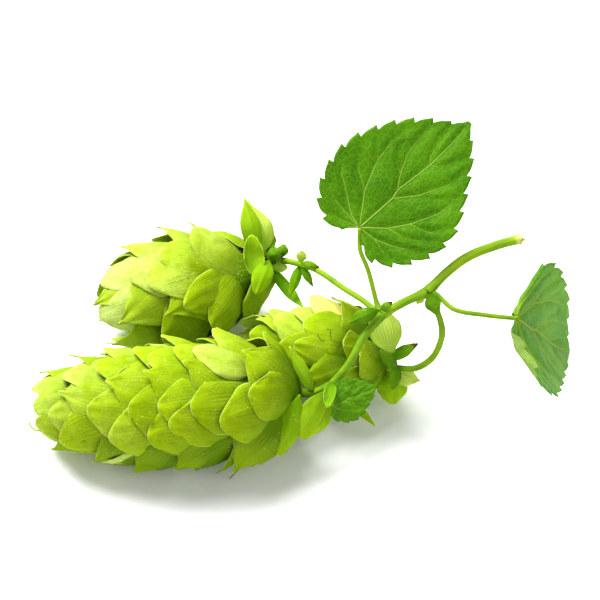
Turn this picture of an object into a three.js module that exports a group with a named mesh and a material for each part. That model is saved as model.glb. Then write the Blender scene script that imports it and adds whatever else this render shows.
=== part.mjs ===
// A picked sprig of hop: a curved green stem with three papery cones, three leaves and
// the small bracts at its nodes, lying on its cones. Millimetres, +Z up.
//
// The surface that the sprig lies on is z = 0. The cones point towards -X, side by side
// along Y, and the stem arches above them with its cut end at +X.

import * as THREE from "three";
import { mergeVertices } from "three/addons/utils/BufferGeometryUtils.js";

// ---------------------------------------------------------------- driving dimensions

// Moves the whole sprig so that the origin is under the middle of its box.
const SPRIG_SHIFT_X = -0.8;
const SPRIG_SHIFT_Y = -0.5;

const GAP = 0.35;                 // air between pieces that touch in the real sprig
const STEM_RADIUS = 1.05;
const PEDUNCLE_RADIUS = 0.6;
const PETIOLE_RADIUS = 0.5;
const LEAF_THICKNESS = 0.5;
const BRACT_THICKNESS = 0.45;

const STEM_SIDES = 10;
const TWIG_SIDES = 8;
const CONE_SIDES = 24;            // vertices round a cone
const PETALS_PER_WHORL = 6;

const CUT_END = [41.5, 7.5, 35.0];
const NODE_A = [24.0, -1.5, 30.0];     // fork to the right-hand leaf and the middle cone
const NODE_B = [15.5, -4.5, 27.0];     // fork to the large leaf and the upper cone
const NODE_C = [6.0, -14.0, 17.5];     // fork to the small leaf, above the front cone

// Each cone: its base, its tip, how many whorls of bracts it has, and the radius out to
// the bract tips at fractions of the way from base to tip.
const CONES = {
  cone_front: {
    base: [0.5, -12.0, 13.0],
    tip: [-52.5, -12.5, 9.0],
    bow: 2.5,
    whorls: 12,
    profile: [[0, 2.5], [0.04, 7.5], [0.1, 10.8], [0.22, 13.0], [0.42, 13.6], [0.6, 13.0],
      [0.76, 11.0], [0.9, 7.8], [1, 2.5]],
  },
  cone_upper: {
    base: [-4.5, 20.5, 14.4],
    tip: [-41.5, 11.5, 8.6],
    bow: 0,
    whorls: 7,
    profile: [[0, 2.5], [0.06, 4.6], [0.2, 9.0], [0.44, 12.6], [0.69, 12.4], [0.86, 9.6],
      [0.95, 6.6], [1, 2.5]],
  },
  cone_middle: {
    base: [17.5, -4.0, 10.8],
    tip: [-12.5, 6.0, 10.2],
    bow: 0,
    whorls: 6,
    profile: [[0, 2.5], [0.06, 5.5], [0.16, 9.2], [0.3, 11.5], [0.45, 10.1], [0.6, 6.8],
      [0.75, 4.8], [0.9, 3.0], [1, 1.5]],
  },
};

// ---------------------------------------------------------------- materials

function surface(color, roughness) {
  return new THREE.MeshStandardMaterial({ color, roughness, metalness: 0 });
}

const FINISHES = {
  stem: surface(0x7fa92a, 0.5),
  leaf: surface(0x4f8c10, 0.5),
  leaf_grey: surface(0x6fa348, 0.45),
  cone: surface(0xa4cb1c, 0.55),
  bract: surface(0x8fc01e, 0.55),
  bract_pale: surface(0xd3ea72, 0.55),
  bract_dark: surface(0x4c8a14, 0.5),
};

// ---------------------------------------------------------------- small helpers

function vec(point) {
  return new THREE.Vector3(...point);
}

// The point on the way from one point to another, a set distance from the first.
function onTheWay(from, to, distance) {
  const way = vec(to).sub(vec(from)).normalize();
  return vec(from).addScaledVector(way, distance).toArray();
}

// A closed body from its points and triangles. Points that meet become one.
function solidFrom(positions, triangles) {
  const geometry = new THREE.BufferGeometry();
  geometry.setAttribute("position", new THREE.Float32BufferAttribute(positions, 3));
  geometry.setIndex(triangles);
  return mergeVertices(geometry, 1e-5);
}

function addPiece(group, name, geometry, finish) {
  const mesh = new THREE.Mesh(geometry, FINISHES[finish]);
  mesh.name = name;
  group.add(mesh);
}

// ---------------------------------------------------------------- stems

// A round tube of one radius along a smooth curve through the points.
function twig(points, radius, sides, steps) {
  const outline = new THREE.Shape();
  for (let side = 0; side < sides; side += 1) {
    const angle = (2 * Math.PI * side) / sides;
    const x = radius * Math.cos(angle);
    const y = radius * Math.sin(angle);
    if (side === 0) outline.moveTo(x, y);
    else outline.lineTo(x, y);
  }
  outline.closePath();
  const extrudePath = new THREE.CatmullRomCurve3(points.map(vec));
  return new THREE.ExtrudeGeometry(outline, { steps, bevelEnabled: false, extrudePath });
}

function addStems(group) {
  const clear = STEM_RADIUS + GAP;
  const upper = [CUT_END, [37.5, 6.5, 34.5], [32.0, 4.5, 33.5], [28.0, 2.0, 32.0], NODE_A];
  const middle = [onTheWay(NODE_A, NODE_B, 2 * GAP), [20.0, -2.5, 28.5],
    onTheWay(NODE_B, NODE_A, GAP / 2)];
  const lower = [onTheWay(NODE_B, [12.0, -8.0, 24.5], clear), [12.0, -8.0, 24.5],
    [9.5, -11.5, 21.5], NODE_C];
  addPiece(group, "stem_upper", twig(upper, STEM_RADIUS, STEM_SIDES, 14), "stem");
  addPiece(group, "stem_middle", twig(middle, STEM_RADIUS, STEM_SIDES, 4), "stem");
  addPiece(group, "stem_lower", twig(lower, STEM_RADIUS * 0.85, STEM_SIDES, 8), "stem");
}

// The stalks of the cones and of the leaves. Each starts just clear of the stem.
function addStalks(group) {
  const stalks = {
    peduncle_upper_cone: {
      points: [[13.9, -3.4, 26.2], [12.4, -0.6, 26.2], [8.5, 4.0, 25.0], [3.5, 11.5, 22.0], [0.0, 16.5, 18.5],
        [-3.2, 20.0, 15.8]],
      radius: PEDUNCLE_RADIUS,
      steps: 9,
    },
    peduncle_middle_cone: {
      points: [[25.1, -2.8, 28.5], [26.6, -4.8, 25.5], [27.0, -5.8, 22.0], [25.5, -7.0, 17.5],
        [22.5, -6.5, 13.6], [19.0, -5.0, 11.8]],
      radius: PEDUNCLE_RADIUS,
      steps: 10,
    },
    peduncle_front_cone: {
      points: [onTheWay(NODE_C, [2.0, -13.2, 14.2], GAP + 0.5), [2.0, -13.2, 14.2],
        [1.2, -12.8, 13.7]],
      radius: PEDUNCLE_RADIUS,
      steps: 3,
    },
    petiole_large_leaf: {
      points: [[14.6, -2.9, 28.0], [12.8, 1.5, 33.0], [11.4, 3.9, 35.4], [11.2, 5.0, 36.8]],
      radius: PETIOLE_RADIUS,
      steps: 7,
    },
    petiole_right_leaf: {
      points: [[25.8, -2.1, 29.8], [29.0, -5.0, 29.0], [34.5, -5.0, 27.5],
        [40.4, -4.5, 26.0]],
      radius: PETIOLE_RADIUS,
      steps: 8,
    },
    petiole_small_leaf: {
      points: [[6.4, -15.4, 17.5], [6.8, -16.9, 17.2]],
      radius: PETIOLE_RADIUS * 0.8,
      steps: 2,
    },
  };
  for (const [name, stalk] of Object.entries(stalks)) {
    addPiece(group, name, twig(stalk.points, stalk.radius, TWIG_SIDES, stalk.steps), "stem");
  }
}

// ---------------------------------------------------------------- cones

// Straight-line interpolation in a list of [place, value] pairs.
function valueAt(profile, place) {
  for (let i = 1; i < profile.length; i += 1) {
    const [endPlace, endValue] = profile[i];
    const [startPlace, startValue] = profile[i - 1];
    if (place <= endPlace) {
      const part = (place - startPlace) / (endPlace - startPlace);
      return startValue + part * (endValue - startValue);
    }
  }
  return profile[profile.length - 1][1];
}

// A cone as one body: stacked whorls of bracts, each with a petalled lip that stands
// proud of the next whorl, flat underneath where the cone rests.
function coneBody({ base, tip, bow, whorls, profile }) {
  const start = vec(base);
  const axis = vec(tip).sub(start);
  const length = axis.length();
  axis.normalize();
  const side = new THREE.Vector3(0, 0, 1).cross(axis).normalize();
  const up = axis.clone().cross(side);
  const lipDepth = 0.055;         // how far a petal's point runs towards the tip
  const stepIn = 0.9;             // radius just past a lip, against the lip's own
  const stepLength = 0.012;       // from a lip to where the step in ends
  const petalNotch = 0.05;        // how far the outline dips between two petals
  const firstLip = 0.06;          // the lips share the way from here
  const lipRange = 0.88;          // over this part of the cone's length
  const freeEnd = 0.2;            // part of a whorl left bare before the tip
  const positions = [];
  const addRing = (place, scale, petalDepth, turn) => {
    for (let i = 0; i < CONE_SIDES; i += 1) {
      const angle = (2 * Math.PI * i) / CONE_SIDES;
      const petal = 0.5 + 0.5 * Math.cos(PETALS_PER_WHORL * (angle - turn));
      const radius = valueAt(profile, place) * scale * (1 - petalNotch * (1 - petal));
      const along = length * Math.min(place + petalDepth * (petal - 0.5), 1);
      const point = start.clone()
        .addScaledVector(axis, along)
        .addScaledVector(side, radius * Math.cos(angle) + bow * Math.sin(Math.PI * place))
        .addScaledVector(up, radius * Math.sin(angle));
      positions.push(point.x, point.y, Math.max(point.z, 0));
    }
  };
  addRing(0, 1, 0, 0);
  for (let whorl = 0; whorl < whorls; whorl += 1) {
    const turn = (whorl % 2) * (Math.PI / PETALS_PER_WHORL);
    const lip = firstLip + (lipRange * (whorl + 1)) / (whorls + freeEnd);
    addRing(lip, 1, lipDepth, turn);
    addRing(lip + stepLength, stepIn, lipDepth, turn);
  }
  addRing(1, 1, 0, 0);
  const rings = positions.length / 3 / CONE_SIDES;
  const triangles = [];
  for (let ring = 0; ring + 1 < rings; ring += 1) {
    for (let i = 0; i < CONE_SIDES; i += 1) {
      const next = (i + 1) % CONE_SIDES;
      const a = ring * CONE_SIDES + i;
      const b = ring * CONE_SIDES + next;
      triangles.push(a, b, a + CONE_SIDES, b, b + CONE_SIDES, a + CONE_SIDES);
    }
  }
  const baseCentre = positions.length / 3;
  positions.push(start.x, start.y, start.z);
  const end = vec(tip);
  positions.push(end.x, end.y, end.z);
  const lastRing = (rings - 1) * CONE_SIDES;
  for (let i = 0; i < CONE_SIDES; i += 1) {
    const next = (i + 1) % CONE_SIDES;
    triangles.push(baseCentre, next, i);
    triangles.push(baseCentre + 1, lastRing + i, lastRing + next);
  }
  return solidFrom(positions, triangles);
}

// ---------------------------------------------------------------- leaf blades

// Half outlines of a hop leaf as [along, across], in lengths of the midrib, from the
// notch where the stalk joins to the tip.
const BROAD_LEAF = {
  left: [[-0.03, 0.04], [-0.1, 0.1], [-0.09, 0.25], [0, 0.36], [0.15, 0.43], [0.32, 0.45],
    [0.47, 0.41], [0.65, 0.32], [0.78, 0.21], [0.9, 0.08]],
  right: [[-0.04, 0.05], [-0.08, 0.18], [-0.02, 0.3], [0.1, 0.39], [0.25, 0.45],
    [0.42, 0.44], [0.57, 0.36], [0.7, 0.27], [0.82, 0.18], [0.92, 0.08]],
};

// A toothed leaf: its outline is a smooth curve through the points, with teeth that lean
// towards the tip, filled by rings that shrink to a point on the midrib.
function leafBlade({ joint, along, face, length, width, teeth, toothDepth, bend }) {
  const midrib = vec(along).normalize();
  const normal = vec(face);
  normal.addScaledVector(midrib, -normal.dot(midrib)).normalize();
  const across = midrib.clone().cross(normal);
  const halves = [
    ...BROAD_LEAF.left.map(([a, c]) => new THREE.Vector3(a, -c, 0)),
    new THREE.Vector3(1, 0, 0),
    ...BROAD_LEAF.right.map(([a, c]) => new THREE.Vector3(a, c, 0)).reverse(),
  ];
  const outline = new THREE.CatmullRomCurve3(halves, true, "centripetal");
  const perTooth = 2;
  const count = teeth * perTooth;
  const rings = 3;
  const centre = new THREE.Vector3(0.35, 0, 0);
  const rim = [];
  for (let i = 0; i < count; i += 1) {
    const point = outline.getPointAt(i / count);
    const outwards = point.clone().sub(centre).normalize();
    const swing = i % perTooth === 0 ? toothDepth : -toothDepth;
    rim.push(point.addScaledVector(outwards, swing));
  }
  const place = (flat, lift) => {
    const height = bend(flat.x, flat.y) + lift / length;
    return vec(joint)
      .addScaledVector(midrib, flat.x * length)
      .addScaledVector(across, flat.y * width * length)
      .addScaledVector(normal, height * length);
  };
  const positions = [];
  const triangles = [];
  for (const lift of [LEAF_THICKNESS / 2, -LEAF_THICKNESS / 2]) {
    positions.push(...place(centre, lift).toArray());
    for (let ring = 1; ring <= rings; ring += 1) {
      for (const point of rim) {
        const flat = centre.clone().lerp(point, ring / rings);
        positions.push(...place(flat, lift).toArray());
      }
    }
  }
  const sheet = 1 + rings * count;
  for (let i = 0; i < count; i += 1) {
    const next = (i + 1) % count;
    triangles.push(0, 1 + next, 1 + i);
    triangles.push(sheet, sheet + 1 + i, sheet + 1 + next);
    for (let ring = 0; ring + 1 < rings; ring += 1) {
      const a = 1 + ring * count + i;
      const b = 1 + ring * count + next;
      triangles.push(a, b, a + count, b, b + count, a + count);
      const c = sheet + a;
      const d = sheet + b;
      triangles.push(c, c + count, d, d, c + count, d + count);
    }
    const top = 1 + (rings - 1) * count + i;
    const topNext = 1 + (rings - 1) * count + next;
    triangles.push(top, topNext, sheet + top, topNext, sheet + topNext, sheet + top);
  }
  return solidFrom(positions, triangles);
}

function addLeaves(group) {
  const blades = {
    blade_large_leaf: {
      joint: [11.2, 6.4, 39.3],
      along: [0.724, 0.513, 0.462],
      face: [0, -0.669, 0.743],
      length: 28.9,
      width: 0.98,
      teeth: 26,
      toothDepth: 0.015,
      bend: (a, c) => 0.12 * c * c - 0.05 * a * a,
    },
    blade_right_leaf: {
      joint: [41.4, -4.4, 25.9],
      along: [0.5, 0.36, -0.79],
      face: [0.83, -0.32, 0.36],
      length: 25,
      width: 1.18,
      teeth: 22,
      toothDepth: 0.015,
      bend: (a, c) => 0.45 * Math.abs(c) ** 1.25,
    },
    blade_small_leaf: {
      joint: [6.8, -18.2, 17.4],
      along: [0.97, 0.0, -0.24],
      face: [0, -0.669, 0.743],
      length: 8.2,
      width: 1.1,
      teeth: 16,
      toothDepth: 0.03,
      bend: (a, c) => -0.2 * c * c,
    },
  };
  const finishes = { blade_right_leaf: "leaf_grey" };
  for (const [name, blade] of Object.entries(blades)) {
    addPiece(group, name, leafBlade(blade), finishes[name] ?? "leaf");
  }
}

// ---------------------------------------------------------------- single bracts

// A small pointed leaf-like scale: a thin closed shell along the line from its base to
// its tip, widest at a set place, bowed towards its outer face and cupped across.
function bractBody({ base, tip, out, width, widest = 0.45, bow = 0.12, cup = 0.25 }) {
  const start = vec(base);
  const axis = vec(tip).sub(start);
  const length = axis.length();
  axis.normalize();
  const outer = vec(out);
  outer.addScaledVector(axis, -outer.dot(axis)).normalize();
  const side = axis.clone().cross(outer);
  const stations = 5;
  const columns = [-1, 0, 1];
  const stub = 0.16;              // half width left at both ends, against the widest
  const positions = [];
  for (const lift of [BRACT_THICKNESS / 2, -BRACT_THICKNESS / 2]) {
    for (let station = 0; station <= stations; station += 1) {
      const place = station / stations;
      const rise = place < widest ? place / widest : (1 - place) / (1 - widest);
      const half = (width / 2) * Math.max(Math.sin((Math.PI / 2) * rise), stub);
      for (const column of columns) {
        const height = bow * length * 4 * place * (1 - place)
          - cup * half * column * column + lift;
        const point = start.clone()
          .addScaledVector(axis, place * length)
          .addScaledVector(side, column * half)
          .addScaledVector(outer, height);
        positions.push(point.x, point.y, point.z);
      }
    }
  }
  const across = columns.length;
  const sheet = (stations + 1) * across;
  const triangles = [];
  const quad = (a, b, c, d) => triangles.push(a, c, b, a, d, c);
  for (let station = 0; station < stations; station += 1) {
    for (let column = 0; column + 1 < across; column += 1) {
      const a = station * across + column;
      quad(a, a + across, a + across + 1, a + 1);
      quad(sheet + a, sheet + a + 1, sheet + a + across + 1, sheet + a + across);
    }
    const left = station * across;
    quad(left, sheet + left, sheet + left + across, left + across);
    const right = left + across - 1;
    quad(right, right + across, sheet + right + across, sheet + right);
  }
  for (let column = 0; column + 1 < across; column += 1) {
    quad(column, column + 1, sheet + column + 1, sheet + column);
    const end = stations * across + column;
    quad(end, sheet + end, sheet + end + 1, end + 1);
  }
  return solidFrom(positions, triangles);
}

// Directions that bracts face.
const UPWARDS = [0, -0.6, 0.8];
const FORWARDS = [0, -1, 0.2];
const RIGHTWARDS = [1, -0.2, 0.3];

const BRACTS = {
  stipule_a_front: {
    base: [23.9, -3.2, 30.1], tip: [26.0, -5.8, 27.6], out: FORWARDS, width: 2.4,
    finish: "bract_dark",
  },
  stipule_a_back: {
    base: [22.6, -2.4, 28.0], tip: [23.4, -2.4, 26.2], out: FORWARDS, width: 1.2,
    finish: "bract_pale",
  },
  stipule_b_left: {
    base: [14.2, -5.4, 28.4], tip: [9.2, -6.2, 26.2], out: UPWARDS, width: 2.2, bow: 0.2,
    finish: "bract_dark",
  },
  stipule_b_right: {
    base: [16.9, -3.2, 28.9], tip: [17.4, -3.0, 31.0], out: UPWARDS, width: 1.2,
    finish: "bract",
  },
  stipule_c_front: {
    base: [5.6, -15.3, 19.2], tip: [5.2, -20.0, 19.6], out: UPWARDS, width: 1.8,
    widest: 0.6, finish: "bract",
  },
  stipule_c_back: {
    base: [8.0, -15.2, 15.6], tip: [14.2, -19.8, 12.0], out: UPWARDS, width: 1.5,
    finish: "bract_dark",
  },
  peduncle_bract_pale: {
    base: [0.8, 15.6, 20.5], tip: [0.4, 17.0, 22.6], out: UPWARDS, width: 1.7,
    finish: "bract_pale",
  },
  peduncle_bract_brown_tip: {
    base: [1.4, 13.2, 22.9], tip: [4.4, 12.2, 23.0], out: UPWARDS, width: 1.2,
    finish: "bract_dark",
  },
  peduncle_bract_hanging: {
    base: [-0.5, 16.0, 17.5], tip: [-2.0, 12.6, 14.4], out: UPWARDS, width: 1.8,
    finish: "bract",
  },
  peduncle_bract_pointed: {
    base: [1.2, 14.6, 18.7], tip: [2.4, 12.4, 15.8], out: UPWARDS, width: 1.1,
    finish: "bract",
  },
  upper_bract_tall_pale: {
    base: [-6.0, 22.3, 19.0], tip: [-9.6, 29.0, 24.8], out: UPWARDS, width: 5.0,
    finish: "bract_pale",
  },
  upper_bract_tall_green: {
    base: [-8.8, 21.0, 21.4], tip: [-12.2, 27.4, 26.4], out: UPWARDS, width: 2.8,
    finish: "bract",
  },
  upper_bract_triangular: {
    base: [-4.8, 22.0, 17.8], tip: [-4.8, 24.4, 20.2], out: RIGHTWARDS, width: 2.2,
    finish: "bract",
  },
  upper_bud_dark: {
    base: [-4.0, 19.4, 18.0], tip: [-4.0, 20.4, 19.6], out: RIGHTWARDS, width: 1.8,
    finish: "bract_dark",
  },
  upper_bud_round: {
    base: [-3.0, 21.2, 17.0], tip: [-2.6, 22.0, 18.6], out: RIGHTWARDS, width: 1.4,
    finish: "bract_dark",
  },
  upper_bract_curled: {
    base: [-8.8, 14.7, 20.0], tip: [-10.0, 19.0, 24.0], out: UPWARDS, width: 2.8,
    finish: "bract",
  },
  upper_bract_arched: {
    base: [-6.0, 16.2, 18.2], tip: [-8.8, 9.6, 18.0], out: UPWARDS, width: 3.0,
    widest: 0.65, finish: "bract",
  },
  upper_bract_small: {
    base: [-3.2, 18.6, 15.2], tip: [-2.4, 17.4, 13.2], out: RIGHTWARDS, width: 1.6,
    finish: "bract_pale",
  },
  upper_bract_hanging: {
    base: [-4.0, 17.2, 13.9], tip: [0.6, 9.8, 12.4], out: RIGHTWARDS, width: 2.2,
    finish: "bract_dark",
  },
  middle_bract_pale: {
    base: [17.4, -3.4, 17.4], tip: [15.6, 2.2, 20.4], out: UPWARDS, width: 4.6,
    finish: "bract_pale",
  },
  middle_bract_brown_tip: {
    base: [18.4, -3.5, 13.7], tip: [23.0, -2.0, 15.8], out: UPWARDS, width: 1.8,
    finish: "bract",
  },
  middle_bract_pointed: {
    base: [19.6, -6.0, 10.0], tip: [23.8, -6.4, 9.4], out: UPWARDS, width: 2.5,
    finish: "bract_pale",
  },
  middle_bract_lower: {
    base: [18.4, -5.8, 8.8], tip: [19.0, -8.4, 5.0], out: RIGHTWARDS, width: 4.6,
    finish: "bract_pale",
  },
  middle_stipule_upper: {
    base: [18.2, -5.8, 14.8], tip: [15.2, -6.2, 18.2], out: UPWARDS, width: 2.0,
    finish: "bract_dark",
  },
  middle_stipule_lower: {
    base: [18.4, -6.9, 11.7], tip: [18.2, -9.8, 10.0], out: UPWARDS, width: 1.9,
    finish: "bract_dark",
  },
  front_bract_vertical: {
    base: [-0.2, -17.4, 14.8], tip: [-3.2, -23.0, 6.2], out: FORWARDS, width: 4.2,
    finish: "bract",
  },
  front_bract_hanging: {
    base: [4.2, -15.1, 15.2], tip: [1.8, -20.6, 9.6], out: FORWARDS, width: 4.6,
    widest: 0.6, finish: "bract",
  },
  front_bract_upright: {
    base: [2.2, -12.6, 16.6], tip: [-1.8, -7.4, 21.4], out: UPWARDS, width: 2.0,
    finish: "bract",
  },
};

// ---------------------------------------------------------------- the sprig

const sprig = new THREE.Group();
sprig.position.set(SPRIG_SHIFT_X, SPRIG_SHIFT_Y, 0);
addStems(sprig);
addStalks(sprig);
for (const [name, cone] of Object.entries(CONES)) {
  addPiece(sprig, name, coneBody(cone), "cone");
}
addLeaves(sprig);
for (const [name, bract] of Object.entries(BRACTS)) {
  addPiece(sprig, name, bractBody(bract), bract.finish);
}

export default sprig;
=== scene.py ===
"""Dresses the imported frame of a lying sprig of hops: cones, leaves, stalks and loose bracts."""

import math
import random

import bpy
from bpy.props import FloatProperty, FloatVectorProperty, PointerProperty
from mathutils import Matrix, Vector, noise


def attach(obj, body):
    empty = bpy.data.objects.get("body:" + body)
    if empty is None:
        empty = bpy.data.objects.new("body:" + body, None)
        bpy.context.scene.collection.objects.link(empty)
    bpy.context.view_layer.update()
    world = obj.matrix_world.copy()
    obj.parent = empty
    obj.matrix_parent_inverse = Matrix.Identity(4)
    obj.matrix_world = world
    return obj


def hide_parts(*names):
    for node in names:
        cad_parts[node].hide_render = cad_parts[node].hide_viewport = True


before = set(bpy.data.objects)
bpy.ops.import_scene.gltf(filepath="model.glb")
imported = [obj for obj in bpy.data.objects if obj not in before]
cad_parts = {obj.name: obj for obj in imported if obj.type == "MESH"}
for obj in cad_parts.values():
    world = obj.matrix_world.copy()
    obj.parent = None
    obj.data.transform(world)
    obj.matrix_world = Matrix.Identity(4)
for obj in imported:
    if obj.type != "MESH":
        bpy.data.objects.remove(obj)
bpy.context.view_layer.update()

bl_info = {
    "name": "Hop Sprig",
    "version": (1, 0, 0),
    "blender": (4, 5, 0),
    "location": "3D View > Sidebar > Hop Sprig",
    "description": "Builds a cut sprig of hops with three cones and three leaves",
    "category": "Add Mesh",
}

BODY = "root"
MM = 0.001
# From the lengths below, which are in millimetres, to the middle of the frame.
SPRIG_SHIFT = Vector((-0.8, -0.5, 0))
# Ways that a loose bract can face.
UPWARDS = Vector((0, -0.6, 0.8))
FORWARDS = Vector((0, -1, 0.2))
RIGHTWARDS = Vector((1, -0.2, 0.3))
# Angles round a cone start at FACING and grow towards OVER.
FACING = Vector((0, -0.669, 0.743))
OVER = Vector((0, 0.743, 0.669))
# No stalk runs along this one.
TUBE_HELPER = Vector((0.31, 0.17, 0.93))
MAP_NAME = "bract_map"
LOOSE_THICKNESS = 0.12 * MM
TORN_THICKNESS = 0.14 * MM
YELLOW_SEED, LOOSE_SEED, BUD_SEED, TORN_SEED = 71, 300, 400, 500


# ---------------------------------------------------------------- small helpers

def smooth(x):
    """0 below 0, 1 above 1 and an even rise between."""
    x = min(1.0, max(0.0, x))
    return x * x * (3 - 2 * x)


def profile(stops, x):
    """The value at x of a line through (x, value) stops."""
    for (x0, y0), (x1, y1) in zip(stops, stops[1:]):
        if x <= x1:
            part = min(1.0, max(0.0, (x - x0) / (x1 - x0)))
            return y0 + (y1 - y0) * part
    return stops[-1][1]


def crosswise(vector, direction):
    """vector without its part along direction, one long."""
    direction = direction.normalized()
    return (vector - direction * vector.dot(direction)).normalized()


class Route:
    """A smooth line through points in millimetres, read at 0 to 1."""

    def __init__(self, points, knots=None):
        self.points = [Vector(p) for p in points]
        if knots is None:
            run = [0.0]
            for a, b in zip(self.points, self.points[1:]):
                run.append(run[-1] + (b - a).length)
            knots = [r / run[-1] for r in run]
        self.knots = knots
        last = len(self.points) - 1
        self.slopes = []
        for i in range(last + 1):
            low, high = max(0, i - 1), min(last, i + 1)
            step = self.knots[high] - self.knots[low]
            self.slopes.append((self.points[high] - self.points[low]) / step)

    def at(self, t):
        """The point and the direction at t."""
        i = 0
        while i < len(self.knots) - 2 and t > self.knots[i + 1]:
            i += 1
        gap = self.knots[i + 1] - self.knots[i]
        x = (t - self.knots[i]) / gap
        p0, p1 = self.points[i], self.points[i + 1]
        m0, m1 = self.slopes[i] * gap, self.slopes[i + 1] * gap
        point = (p0 * (2 * x**3 - 3 * x**2 + 1) + m0 * (x**3 - 2 * x**2 + x)
                 + p1 * (3 * x**2 - 2 * x**3) + m1 * (x**3 - x**2))
        run = (p0 * (6 * x**2 - 6 * x) + m0 * (3 * x**2 - 4 * x + 1)
               + p1 * (6 * x - 6 * x**2) + m1 * (3 * x**2 - 2 * x))
        if run.length < 1e-6:
            run = p1 - p0
        return point, run.normalized()


def deselect():
    """Nothing selected, in object mode."""
    if bpy.context.object and bpy.context.object.mode != "OBJECT":
        bpy.ops.object.mode_set(mode="OBJECT")
    bpy.ops.object.select_all(action="DESELECT")


def grid(columns, rows):
    """A new flat grid from -1 to 1 both ways, selected and active."""
    deselect()
    bpy.ops.mesh.primitive_grid_add(x_subdivisions=columns, y_subdivisions=rows, size=2)
    return bpy.context.object


def new_object(mesh):
    """An object for a mesh, in the scene."""
    item = bpy.data.objects.new(mesh.name, mesh)
    bpy.context.collection.objects.link(item)
    return item


def write_map(mesh, values):
    """Keeps three numbers a vertex for the materials."""
    spots = mesh.attributes.new(MAP_NAME, "FLOAT_VECTOR", "POINT")
    for spot, value in zip(spots.data, values):
        spot.vector = value


def join(items, name):
    """Several objects made one."""
    deselect()
    for item in items:
        item.select_set(True)
    bpy.context.view_layer.objects.active = items[0]
    if len(items) > 1:
        bpy.ops.object.join()
    items[0].name = name
    items[0].data.name = name
    return items[0]


def thicken(item, thickness, second_side=False):
    """Gives a sheet its thickness in metres, behind it; that side can have the second material."""
    deselect()
    bpy.context.view_layer.objects.active = item
    item.select_set(True)
    wall = item.modifiers.new("thickness", "SOLIDIFY")
    wall.thickness = thickness
    wall.offset = -1
    wall.use_even_offset = False
    if second_side:
        wall.material_offset = 1
    bpy.ops.object.modifier_apply(modifier=wall.name)


def settle(item, nodes, materials):
    """Keeps a piece above the floor, smooths it, adds its materials and hands it to the frame."""
    for vertex in item.data.vertices:
        vertex.co.z = max(vertex.co.z, 0.0)
    deselect()
    bpy.context.view_layer.objects.active = item
    item.select_set(True)
    bpy.ops.object.shade_smooth()
    for material in materials:
        item.data.materials.append(material)
    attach(item, BODY)
    for node in nodes:
        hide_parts(node)
    return item


# ---------------------------------------------------------------- materials

# A Mix node's sockets for colours, which share their names with others.
MIX_PART, MIX_FIRST, MIX_SECOND, MIX_RESULT = 0, 6, 7, 2
# How high the relief of each finish is, in metres.
BRACT_RELIEF, LEAF_RELIEF, VEIN_RELIEF = 0.00008, 0.00012, 0.00003
STEM_RELIEF, FLOOR_RELIEF = 0.00006, 0.00002
YELLOW_DUST = (0.95, 0.93, 0.35)
DRY_BROWN = (0.13, 0.035, 0.008)
STEM_STREAK = (0.43, 0.59, 0.04)
STEM_BLUSH = (0.27, 0.11, 0.03)
STEM_CUT = (0.75, 0.78, 0.2)
# Where the underside of a stem is, from -1 to 1 round it.
STEM_UNDERSIDE = -0.73


class Wire:
    """A shader value that Python's operators work on."""

    def __init__(self, paint, socket):
        self.paint = paint
        self.socket = socket

    def __add__(self, other):
        return self.paint.math("ADD", self, other)

    def __radd__(self, other):
        return self.paint.math("ADD", other, self)

    def __sub__(self, other):
        return self.paint.math("SUBTRACT", self, other)

    def __rsub__(self, other):
        return self.paint.math("SUBTRACT", other, self)

    def __mul__(self, other):
        return self.paint.math("MULTIPLY", self, other)

    def __rmul__(self, other):
        return self.paint.math("MULTIPLY", other, self)

    def __abs__(self):
        return self.paint.math("ABSOLUTE", self)


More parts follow.
